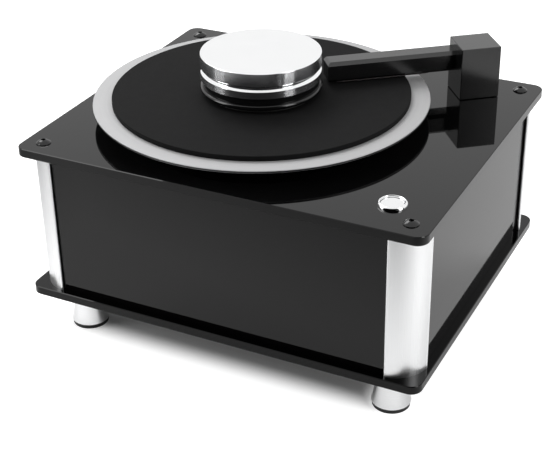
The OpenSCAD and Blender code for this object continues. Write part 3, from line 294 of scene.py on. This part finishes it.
def drawn_metal(name, color, roughness):
    """Lines along Z, hundreds of times finer across the piece than along it."""
    material, tree, shader = new_finish(name, color, 1.0, roughness)
    stretched = place(tree, (LINES_ACROSS, LINES_ACROSS, LINES_ALONG))
    lines = grain(tree, stretched, cells=1.0, detail=2.0)
    gloss(tree, lines, roughness - 0.05, roughness + 0.07, shader)
    tint(tree, lines, *shades(color, 0.97, 1.02), shader)
    relief(tree, lines, LINE_DEPTH, shader)
    return material


wear("post_front_left post_front_right post_rear_left post_rear_right",
     drawn_metal("post_metal", (0.93, 0.935, 0.94), 0.32))
wear("button_nut foot_nuts flange_screws motor_plate motor_standoffs pivot_tube pivot_clips "
     "motor_pulley", drawn_metal("zinc_steel", (0.62, 0.63, 0.65), 0.3))
print("drawn metal on the posts and the fastenings")

# %% [markdown]
# ## Turned metal
# The platter, the spindle and the feet come off a lathe, so their lines are rings. The noise
# reads the distance from the turning axis and the height, and nothing else, which makes it
# the same all the way around. The platter's rim is nearly black in the picture, so its
# sides get a dark finish of their own.

# %% Turned metal
RINGS_PER_METRE = 2200.0
GROOVE_DEPTH = 0.000003


def turned_metal(name, color, roughness, axis, metallic=1.0):
    """Rings about an upright axis at (x, y): noise of the distance from it and of height."""
    material, tree, shader = new_finish(name, color, metallic, roughness)
    combine = tree.nodes.new("ShaderNodeCombineXYZ")
    flat = place(tree, (1.0, 1.0, 0.0), (-axis[0], -axis[1], 0.0))
    tree.links.new(vectors(tree, "LENGTH", flat), combine.inputs["X"])
    tree.links.new(xyz(tree, place(tree))["Z"], combine.inputs["Y"])
    lines = grain(tree, combine.outputs["Vector"], cells=RINGS_PER_METRE, detail=2.0)
    gloss(tree, lines, roughness - 0.04, roughness + 0.05, shader)
    tint(tree, lines, *shades(color, 0.95, 1.03), shader)
    relief(tree, lines, GROOVE_DEPTH, shader)
    return material


wear("platter", turned_metal("platter_satin", (0.49, 0.49, 0.495), 0.58, SPINDLE, 0.35))
wear_sides("platter", turned_metal("platter_edge", (0.022, 0.022, 0.0225), 0.4, SPINDLE, 0.0))
wear("spindle bearing_housing", turned_metal("spindle_steel", (0.66, 0.67, 0.69), 0.25, SPINDLE))
for corner in ("front_left", "front_right", "rear_left", "rear_right"):
    foot = "foot_" + corner
    wear(foot, turned_metal(foot + "_metal", (0.88, 0.885, 0.89), 0.07, centre_of(foot)))
print("turned metal on the platter, the spindle and 4 feet")

# %% [markdown]
# ## Polished clamp and button
# The clamp's discs and the button are polished until no grain is left, only a faint haze of
# wiping marks. Around the clamp's wall the lathe's grooves remain: too fine to see, they
# smear what the wall mirrors up and down, so its highlights are stretched along a tangent
# that stands upright.

# %% Polish
def polished(name, color, roughness, **sockets):
    """Mirror-like metal whose gloss drifts a little, as wiped metal does."""
    material, tree, shader = new_finish(name, color, 1.0, roughness, **sockets)
    haze = grain(tree, place(tree), cells=40.0)
    gloss(tree, haze, roughness * 0.8, roughness * 1.2, shader)
    tint(tree, haze, *shades(color, 0.98, 1.0), shader)
    return material, tree, shader


def spun_wall(name, color, roughness, grooves):
    """Polished metal with an upright tangent, along which the highlights stretch."""
    material, tree, shader = polished(name, color, roughness, Anisotropic=grooves)
    upright = tree.nodes.new("ShaderNodeCombineXYZ")
    upright.inputs["Z"].default_value = 1.0
    tree.links.new(upright.outputs["Vector"], shader.inputs["Tangent"])
    return material


button_chrome = polished("button_chrome", (0.90, 0.905, 0.91), 0.08)[0]
clamp_polish = polished("clamp_polish", (0.92, 0.925, 0.93), 0.10)[0]
clamp_wall = spun_wall("clamp_wall", (0.88, 0.885, 0.90), 0.19, 0.95)
wear("button_bezel button_cap", button_chrome)
wear("clamp_cap clamp_puck", clamp_polish)
print("polish on the clamp and the button")

# %% [markdown]
# ## The clamp's walls stay flat
# Smooth shading bends the light on a tall wall as well, because the small faces along its
# edges pull its normals over. A Weighted Normal modifier lets the large faces decide, and
# so the wall mirrors like the straight cylinder that it is.

# %% Flat walls
for name in ("clamp_cap", "clamp_puck"):
    wear_sides(name, clamp_wall)
    flat_walls = nodes[name].modifiers.new("flat_walls", "WEIGHTED_NORMAL")
    flat_walls.weight = 100
    flat_walls.keep_sharp = True
    print(name, "has", len(nodes[name].data.polygons), "faces")

# %% [markdown]
# ## Black anodised arm and glossy black screws
# Anodising leaves the metal's fine blasted grain, so the arm is black with a soft sheen that
# turns grey where it faces the light. The domed screws are blackened and oiled instead, and
# the castings inside have the same kind of grain in grey.

# %% Blackened metal
def anodised(name, color, roughness, cells, height, **sockets):
    """Fine even grain in both gloss and relief."""
    material, tree, shader = new_finish(name, color, 0.0, roughness, **sockets)
    dots = grain(tree, place(tree), cells, detail=2.0)
    gloss(tree, dots, roughness - 0.05, roughness + 0.06, shader)
    tint(tree, dots, *shades(color, 0.8, 1.25), shader)
    relief(tree, dots, height, shader)
    return material


wear("arm_block arm_bar arm_end_cap lift_collar",
     anodised("arm_anodised", (0.004, 0.004, 0.0041), 0.20, 2400.0, 0.000004, IOR=1.7))
wear("sub_platter motor",
     anodised("disc_anodised", (0.010, 0.010, 0.0105), 0.35, 2400.0, 0.000008))
flange_black = anodised("flange_black", (0.004, 0.004, 0.0042), 0.16, 1800.0, 0.000003)
wear("clamp_flange", flange_black)
wear("plate_screws", anodised("screw_black", (0.006, 0.006, 0.0065), 0.12, 1200.0, 0.000004))
wear("arm_bearing turbine", anodised("cast_grey", (0.45, 0.46, 0.48), 0.4, 900.0, 0.00002))
print("anodised and blackened metal on the arm, the sub-platter, the flange and the screws")

# %% [markdown]
# ## Rubber, mat and plastics
# The mat is a matte, slightly open rubber. Its pores are a fine noise with a rough shader,
# so it stays dark under the softbox. The feet stand on a plainer rubber, and the plastic
# mouldings have the same pores with more gloss.

# %% Soft and moulded finishes
CELLS_PER_CLOUD = 14.0


def porous(name, color, roughness, cells, height, **sockets):
    """Noise at two sizes, one for the pores and one for a faint cloud in the colour."""
    material, tree, shader = new_finish(name, color, 0.0, roughness, **sockets)
    where = place(tree)
    pores = grain(tree, where, cells, detail=4.0, rough=0.65)
    gloss(tree, pores, roughness - 0.06, roughness + 0.08, shader)
    tint(tree, grain(tree, where, cells / CELLS_PER_CLOUD), *shades(color, 0.85, 1.2), shader)
    relief(tree, pores, height, shader)
    return material


wear("record_mat", porous("mat_rubber", (0.005, 0.005, 0.0052), 0.8, 1500.0, 0.00006,
                          Specular_IOR_Level=0.14))
wear("foot_pads clamp_seal drive_belt inlet_hose vacuum_hose turbine_buffers",
     porous("black_rubber", (0.012, 0.012, 0.012), 0.6, 1300.0, 0.00003))
wear("driven_pulley swivel_elbow tank_lid drain_cap drain_spigot mains_inlet switch_frame "
     "switch_rocker", porous("moulded_black", (0.02, 0.02, 0.021), 0.38, 1100.0, 0.00002))
wear("waste_tank", porous("milky_plastic", (0.55, 0.57, 0.55), 0.45, 500.0, 0.00001))
wear("thrust_washer", porous("white_nylon", (0.8, 0.8, 0.77), 0.4, 900.0, 0.00001))
wear("bearing_bushes arm_bushes",
     porous("sintered_bronze", (0.45, 0.27, 0.10), 0.4, 1800.0, 0.00001))
wear("circuit_board", porous("green_lacquer", (0.02, 0.12, 0.05), 0.3, 700.0, 0.00001))
print("all nodes dressed:", all(len(n.data.materials) for n in nodes.values()))

# %% [markdown]
# ## From points to a piece
# A new piece is a list of points and a list of faces, both worked out by numpy as whole
# arrays. Its object stays at the origin, so its place is in the points themselves. Each
# piece then rides on a body of the model, which carries it when a joint moves.

# %% Make a piece
def make_piece(name, points, faces, material, angle=SMOOTH_ANGLE):
    """Points and faces become a shaded object that wears the finish."""
    mesh = bpy.data.meshes.new(name)
    mesh.from_pydata(points.reshape(-1, 3).tolist(), [], faces.tolist())
    mesh.validate()
    mesh.materials.append(material)
    piece = bpy.data.objects.new(name, mesh)
    bpy.context.scene.collection.objects.link(piece)
    shade_by_angle(piece, angle)
    return piece


def grid_quads(index):
    """The quads between neighbours of a grid of point numbers."""
    return np.stack([index[:-1, :-1], index[:-1, 1:], index[1:, 1:], index[1:, :-1]],
                    -1).reshape(-1, 4)


print("piece maker ready")

# %% [markdown]
# ## Velvet
# Beside the suction slot lie two strips of velvet, the only things that touch the record.
# Velvet is a short pile, so it shines where it is seen from the side. That is the shader's
# sheen, and the pile itself is a noise too fine to count.

# %% Velvet finish
velvet, tree, shader = new_finish("velvet_pile", (0.02, 0.008, 0.01), 0.0, 0.95,
                                  Sheen_Weight=0.6, Sheen_Roughness=0.4)
pile = grain(tree, place(tree), cells=5200.0)
tint(tree, pile, (0.012, 0.005, 0.006), (0.035, 0.014, 0.018), shader)
relief(tree, pile, 0.0002, shader)
print("velvet:", velvet.name)

# %% [markdown]
# ## The form of a strip
# The CAD model has two plain blocks for the strips. Here each becomes a low cushion: a
# rectangle whose height falls off gently towards its long sides and quickly at its ends,
# with a fine uneven nap, closed by a flat back that is glued to the arm.

# %% Velvet strip
STRIP_ROWS = 12
STRIP_COLUMNS = 120
END_POWER = 24
SIDE_POWER = 4
NAP = 0.06
NAP_WAVES = ((310.0, 7.0), (173.0, -11.0))
BACK = 0.0001


def velvet_strip(start, end, side, base_z, tip_z):
    """A pillow on a rectangle, with u along it and v across it, both from -1 to 1. It hangs
    from base_z towards tip_z by (1 - |u|^24) times (1 - v^4) times the nap's factor, which
    is 0.94 plus 0.06 times two sines of u and v. A flat back closes it."""
    u, v = np.meshgrid(np.linspace(-1.0, 1.0, STRIP_COLUMNS),
                       np.linspace(-1.0, 1.0, STRIP_ROWS))
    (fine_u, fine_v), (wide_u, wide_v) = NAP_WAVES
    nap = NAP * np.sin(u * fine_u + v * fine_v) * np.sin(u * wide_u + v * wide_v)
    dome = np.clip((1 - np.abs(u) ** END_POWER) * (1 - v ** SIDE_POWER), 0, 1)
    xy = (start + end) / 2 + u[..., None] * (end - start) / 2 + v[..., None] * side
    z = base_z + (tip_z - base_z) * (dome * (1 - NAP + nap))
    front = np.dstack([xy, z])
    back = np.dstack([xy, np.full_like(z, base_z + BACK)])
    index = np.arange(STRIP_ROWS * STRIP_COLUMNS).reshape(STRIP_ROWS, STRIP_COLUMNS)
    quads = grid_quads(index)
    rim = np.concatenate([index[0], index[1:, -1], index[-1, -2::-1], index[-2:0:-1, 0]])
    after = np.roll(rim, -1)
    wall = np.stack([rim, rim + index.size, after + index.size, after], -1)
    faces = np.vstack([quads, quads[:, ::-1] + index.size, wall])
    return np.vstack([front.reshape(-1, 3), back.reshape(-1, 3)]), faces


print("a strip has", 2 * STRIP_ROWS * STRIP_COLUMNS, "points")

# %% [markdown]
# ## Where the strips lie
# The arm is at an angle, so the strips' direction is measured from the CAD blocks: it is the
# direction in which their points spread most. What lies left and right of the middle line
# gives the two strips.

# %% Velvet strips
STRIP_ANGLE = math.radians(50)
lips = nodes["arm_lips"].data
points = np.zeros(len(lips.vertices) * 3, np.float32)
lips.vertices.foreach_get("co", points)
points = points.reshape(-1, 3).astype(float)
centre = points[:, :2].mean(0)
across, along = np.linalg.eigh(np.cov((points[:, :2] - centre).T))[1].T
reach = (points[:, :2] - centre) @ along
offset = (points[:, :2] - centre) @ across
low_z, high_z = points[:, 2].min(), points[:, 2].max()
for side, name in ((-1, "velvet_strip_left"), (1, "velvet_strip_right")):
    mine = offset * side > 0
    left, right = offset[mine].min(), offset[mine].max()
    start, end = (centre + along * r + across * (left + right) / 2
                  for r in (reach.min(), reach.max()))
    form = velvet_strip(start, end, across * (right - left) / 2, high_z - BACK, low_z)
    strip = make_piece(name, *form, velvet, STRIP_ANGLE)
    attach(strip, "arm")
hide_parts("arm_lips")

# %% [markdown]
# ## Turned rings
# Two pieces of the picture owe their look to a rounded profile: the black flange under the
# clamp has a bead that catches the room, and the button's bezel has a soft shoulder. Both
# are lathe work, so each is one closed profile turned about an upright axis.

# %% Turning
AROUND = 240


def turned(profile, axis):
    """Surface of revolution: the closed profile (radius, height), counter-clockwise, is put
    at AROUND angles about the axis, and neighbours are joined by quads."""
    profile = np.array(profile, float)
    angle = np.linspace(0.0, 2.0 * np.pi, AROUND, endpoint=False)[:, None]
    points = np.dstack([axis[0] + profile[:, 0] * np.cos(angle),
                        axis[1] + profile[:, 0] * np.sin(angle),
                        np.broadcast_to(profile[:, 1], (AROUND, len(profile)))])
    index = np.arange(AROUND * len(profile)).reshape(AROUND, len(profile))
    after = np.roll(index, -1, axis=0)
    faces = np.stack([index, after, np.roll(after, -1, axis=1), np.roll(index, -1, axis=1)],
                     -1).reshape(-1, 4)
    return points, faces


def arc(middle, radius, start, end, count, rise=None):
    """Points of a quarter or half round, radius across and rise up, angles in degrees."""
    t = np.radians(np.linspace(start, end, count))
    return np.column_stack([middle[0] + radius * np.cos(t),
                            middle[1] + (rise or radius) * np.sin(t)]).tolist()


print("turning ready")

# %% [markdown]
# ## Flange with its bead
# The flange is a flat black disc whose rim is turned to a half round. The half round shows
# as a fine light line, and above it the disc steps back a little.

# %% Flange
BEAD = 0.0023
FLANGE_BORE = 0.004
STEP_BACK = 0.0004
flange_low, flange_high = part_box("clamp_flange")
waist = (flange_high.x - flange_low.x) / 2 - BEAD
profile = ([[FLANGE_BORE, flange_low.z]]
           + arc((waist, flange_low.z + BEAD), BEAD, -90, 90, 24)
           + [[waist - STEP_BACK, flange_low.z + 2 * BEAD], [waist - STEP_BACK, flange_high.z],
              [FLANGE_BORE, flange_high.z]])
flange = make_piece("turned_flange", *turned(profile, SPINDLE), flange_black)
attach(flange, "clamp")
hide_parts("clamp_flange")
print("flange:", len(flange.data.polygons), "faces")

# %% [markdown]
# ## Bezel with its shoulder
# The bezel is a chromed ring with a barrel that goes down through the plate. Its top falls
# off in a soft shoulder, and a small round leads into the well where the button slides.

# %% Bezel
SHOULDER = 0.0016
WELL_ROUND = 0.0004
RING_FOOT = 0.0004
BARREL_R = 0.011
SLIDE_GAP = 0.0003
bezel_low, bezel_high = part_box("button_bezel")
cap_low, cap_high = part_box("button_cap")
deck_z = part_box("top_plate")[1].z
head_r = (bezel_high.x - bezel_low.x) / 2
well_r = (cap_high.x - cap_low.x) / 2 + SLIDE_GAP
profile = ([[well_r, bezel_low.z], [BARREL_R, bezel_low.z], [BARREL_R, deck_z],
            [head_r, deck_z]]
           + arc((head_r - SHOULDER, deck_z + RING_FOOT), SHOULDER, 0, 90, 14,
                 bezel_high.z - deck_z - RING_FOOT)
           + arc((well_r + WELL_ROUND, bezel_high.z - WELL_ROUND), WELL_ROUND, 90, 180, 6))
bezel = make_piece("turned_bezel", *turned(profile, BUTTON), button_chrome)
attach(bezel, "chassis")
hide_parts("button_bezel")
print("bezel:", len(bezel.data.polygons), "faces")

# %% [markdown]
# ## White paper
# The machine stands on white paper. The paper is a plain diffuse surface, so the soft shadow
# under the case stays. What the camera or a mirror sees of it gets a little extra white through
# Light Path, so that it blends into the white around it without more light. That extra white
# fades out under the case. So the shadow there is partly the real one and partly painted by the
# fade.

# %% Painted shade under the case
CAMERA_WHITE = 0.80
MIRROR_WHITE = 0.32
SHADE_WHITE = 0.03
SHADE_STARTS = 0.010
SHADE_FULL = 0.042
SHADE_MIDDLE = (-0.0135, 0.0)
SHADE_HALF = (0.1735, 0.156)


def painted_shade_under_case(tree):
    """1 outside a rectangle under the case, falling to nearly 0 inside it, which paints shade
    under the case. The distance from its edge is the larger of |x - middle| - half and |y -
    middle| - half, negative inside."""
    shift = (-SHADE_MIDDLE[0], -SHADE_MIDDLE[1], 0.0)
    spot = vectors(tree, "ABSOLUTE", place(tree, (1.0, 1.0, 0.0), shift))
    beyond = xyz(tree, vectors(tree, "SUBTRACT", spot, (*SHADE_HALF, 0.0)))
    edge = maths(tree, "MAXIMUM", beyond["X"], beyond["Y"])
    return spread(tree, edge, SHADE_WHITE, 1.0, -SHADE_FULL, -SHADE_STARTS, "SMOOTHSTEP")


print("shade starts", SHADE_STARTS, "m inside the rectangle")

# %% [markdown]
# ## The paper's end in mirrors
# The posts and the clamp mirror the studio in front of the machine. The picture shows that
# the paper ended there, and that the room behind it was dark. So mirrors, and only mirrors,
# see the paper darken to the front, to the left and to the right.

# %% Paper end
PAPER_FRONT = (0.25, -0.97, 0.0)
PAPER_NEAR = 0.26
PAPER_FAR = 0.74
PAPER_DARK = 0.03
PAPER_MIDDLE_X = 0.10
PAPER_WIDER = 0.10


def paper_end(tree):
    """1 near the machine, falling to nearly 0 far away. How far is the larger of the dot
    product with the front direction and of |x - middle| less the extra width."""
    toward = vectors(tree, "DOT_PRODUCT", place(tree), PAPER_FRONT)
    shifted = maths(tree, "SUBTRACT", xyz(tree, place(tree))["X"], PAPER_MIDDLE_X)
    aside = maths(tree, "SUBTRACT", maths(tree, "ABSOLUTE", shifted), PAPER_WIDER)
    far = maths(tree, "MAXIMUM", toward, aside)
    return spread(tree, far, 1.0, PAPER_DARK, PAPER_NEAR, PAPER_FAR)


print("paper darkens from", PAPER_NEAR, "to", PAPER_FAR, "m")

# %% [markdown]
# ## The paper's finish
# The diffuse paper and its extra white are added up. For a mirror both are multiplied by the
# paper's end, and for everything else the paper has no end.

# %% Paper finish
FIBRE_DARK = (0.79, 0.79, 0.79, 1.0)
FIBRE_LIGHT = (0.82, 0.82, 0.82, 1.0)
FIBRE_CELLS = 900.0


def paper_finish():
    """Diffuse fibre plus the extra white: camera white for the camera, mirror white times
    the paper's end for mirrors, both times the shade under the case."""
    material = bpy.data.materials.new("white_paper")
    material.use_nodes = True
    tree = material.node_tree
    tree.nodes.clear()
    out, diffuse, glow, both, path, fibre = (tree.nodes.new("ShaderNode" + kind) for kind in (
        "OutputMaterial", "BsdfDiffuse", "Emission", "AddShader", "LightPath", "ValToRGB"))
    camera, mirror = path.outputs["Is Camera Ray"], path.outputs["Is Glossy Ray"]
    near = paper_end(tree)
    fibre.color_ramp.elements[0].color = FIBRE_DARK
    fibre.color_ramp.elements[1].color = FIBRE_LIGHT
    shown = maths(tree, "MAXIMUM", near, maths(tree, "SUBTRACT", 1.0, mirror))
    white = maths(tree, "MULTIPLY_ADD", maths(tree, "MULTIPLY", mirror, near), MIRROR_WHITE,
                  maths(tree, "MULTIPLY", camera, CAMERA_WHITE))
    for source, entry in (
            (grain(tree, place(tree), FIBRE_CELLS), fibre.inputs["Fac"]),
            (vectors(tree, "MULTIPLY", fibre.outputs["Color"], shown), diffuse.inputs["Color"]),
            (maths(tree, "MULTIPLY", white, painted_shade_under_case(tree)), glow.inputs["Strength"]),
            (diffuse.outputs[0], both.inputs[0]),
            (glow.outputs[0], both.inputs[1]),
            (both.outputs[0], out.inputs["Surface"])):
        tree.links.new(source, entry)
    return material


print("paper finish ready")

# %% [markdown]
# ## The floor
# A flat grid, wide enough for the camera to see no end of it.

# %% Floor
FLOOR_HALF = 12.0
FLOOR_POINTS = 9
gx, gy = np.meshgrid(*[np.linspace(-FLOOR_HALF, FLOOR_HALF, FLOOR_POINTS)] * 2)
floor_points = np.dstack([gx, gy, np.zeros_like(gx)]).reshape(-1, 3)
floor_faces = grid_quads(np.arange(FLOOR_POINTS ** 2).reshape(FLOOR_POINTS, FLOOR_POINTS))
floor_mesh = bpy.data.meshes.new("floor")
floor_mesh.from_pydata(floor_points.tolist(), [], floor_faces.tolist())
floor_mesh.materials.append(paper_finish())
floor = bpy.data.objects.new("floor", floor_mesh)
bpy.context.scene.collection.objects.link(floor)
print("floor", 2 * FLOOR_HALF, "m wide")

# %% [markdown]
# ## Room
# The room is white all around as far as the camera can tell. For the light and the mirrors
# it darkens towards the photographer, which is why the wall of the clamp is mostly dark: the
# dot product of a direction with the way to the dark side says how far. Mirrors see the rest
# of the room in full white, while the light it gives is weaker.

# %% Room
DARK_SIDE = (0.46, -0.89, -0.40)
FULLY_DARK = 0.25
ROOM_LIGHT = 0.62
MIRROR_LIGHT = 1.0

world = bpy.data.worlds.new("white_room")
bpy.context.scene.world = world
world.use_nodes = True
tree = world.node_tree
sky = tree.nodes["Background"]
sky.inputs["Color"].default_value = (1.0, 1.0, 1.0, 1.0)
path = tree.nodes.new("ShaderNodeLightPath")
way = tree.nodes.new("ShaderNodeTexCoord")
camera_ray, mirror_ray = path.outputs["Is Camera Ray"], path.outputs["Is Glossy Ray"]
facing = vectors(tree, "DOT_PRODUCT", way.outputs["Generated"], DARK_SIDE)
dim = spread(tree, facing, 1.0, 0.0, 0.0, FULLY_DARK, "SMOOTHSTEP")
seen = maths(tree, "MAXIMUM", camera_ray, mirror_ray)
level = spread(tree, seen, ROOM_LIGHT, MIRROR_LIGHT, 0.0, 1.0)
strength = maths(tree, "MAXIMUM", maths(tree, "MULTIPLY", level, dim), camera_ray)
tree.links.new(strength, sky.inputs["Strength"])
print("room light", ROOM_LIGHT)

# %% [markdown]
# ## Lamps
# One wide softbox hangs high behind the left shoulder of the picture, as the bright left and
# rear rim of the disc shows. Two tall, narrow ones stand on the paper in front, to the left
# and to the right: they draw the two upright streaks on the clamp and brighten the posts.

# %% Lamps
def softbox(name, place_at, look_at, width, height, power):
    """A rectangular area lamp that faces its target."""
    lamp = bpy.data.lights.new(name, "AREA")
    lamp.shape = "RECTANGLE"
    lamp.size = width
    lamp.size_y = height
    lamp.energy = power
    obj = bpy.data.objects.new(name, lamp)
    bpy.context.scene.collection.objects.link(obj)
    obj.location = place_at
    toward = Vector(look_at) - Vector(place_at)
    obj.rotation_euler = toward.to_track_quat("-Z", "Y").to_euler()
    return obj


MACHINE_MIDDLE = (0.0, 0.0, 0.15)
ABOVE_CLAMP = (-0.03, 0.0, 0.60)
lamps = [
    softbox("key_softbox", (-1.5, 0.9, 2.1), MACHINE_MIDDLE, 1.6, 1.2, 26.0),
    softbox("left_box", (-0.99, -0.72, 0.74), ABOVE_CLAMP, 0.50, 1.4, 9.0),
    softbox("right_box", (1.15, -0.23, 0.74), ABOVE_CLAMP, 0.42, 1.4, 8.0),
]
print("lamps:", *(lamp.name for lamp in lamps))

# %% [markdown]
# ## Camera
# The picture was taken from a little right of the front and about thirty degrees above,
# with a long lens. Its upright edges were straightened afterwards, which a camera can't do
# without a very large shift, so here they lean together slightly towards the floor.

# %% Camera
FOCAL_PX = 1323.17
IMAGE_W = 560
SENSOR_MM = 36.0
CAMERA_AT = (0.47142, -0.96478, deck_z + 0.49571)
YAW, PITCH, ROLL = math.radians(26.61), math.radians(29.8), math.radians(-0.9)

camera_data = bpy.data.cameras.new("photo_camera")
camera_data.sensor_width = SENSOR_MM
camera_data.lens = FOCAL_PX * SENSOR_MM / IMAGE_W
camera_data.clip_end = 100.0
camera = bpy.data.objects.new("photo_camera", camera_data)
bpy.context.scene.collection.objects.link(camera)
camera.location = CAMERA_AT
camera.rotation_euler = (math.pi / 2 - PITCH, 0.0, YAW)
camera.rotation_euler = (camera.rotation_euler.to_matrix()
                         @ Matrix.Rotation(ROLL, 3, "Z")).to_euler()
bpy.context.scene.camera = camera
bpy.context.scene.view_settings.view_transform = "Standard"
print("lens", round(camera_data.lens, 2), "mm")
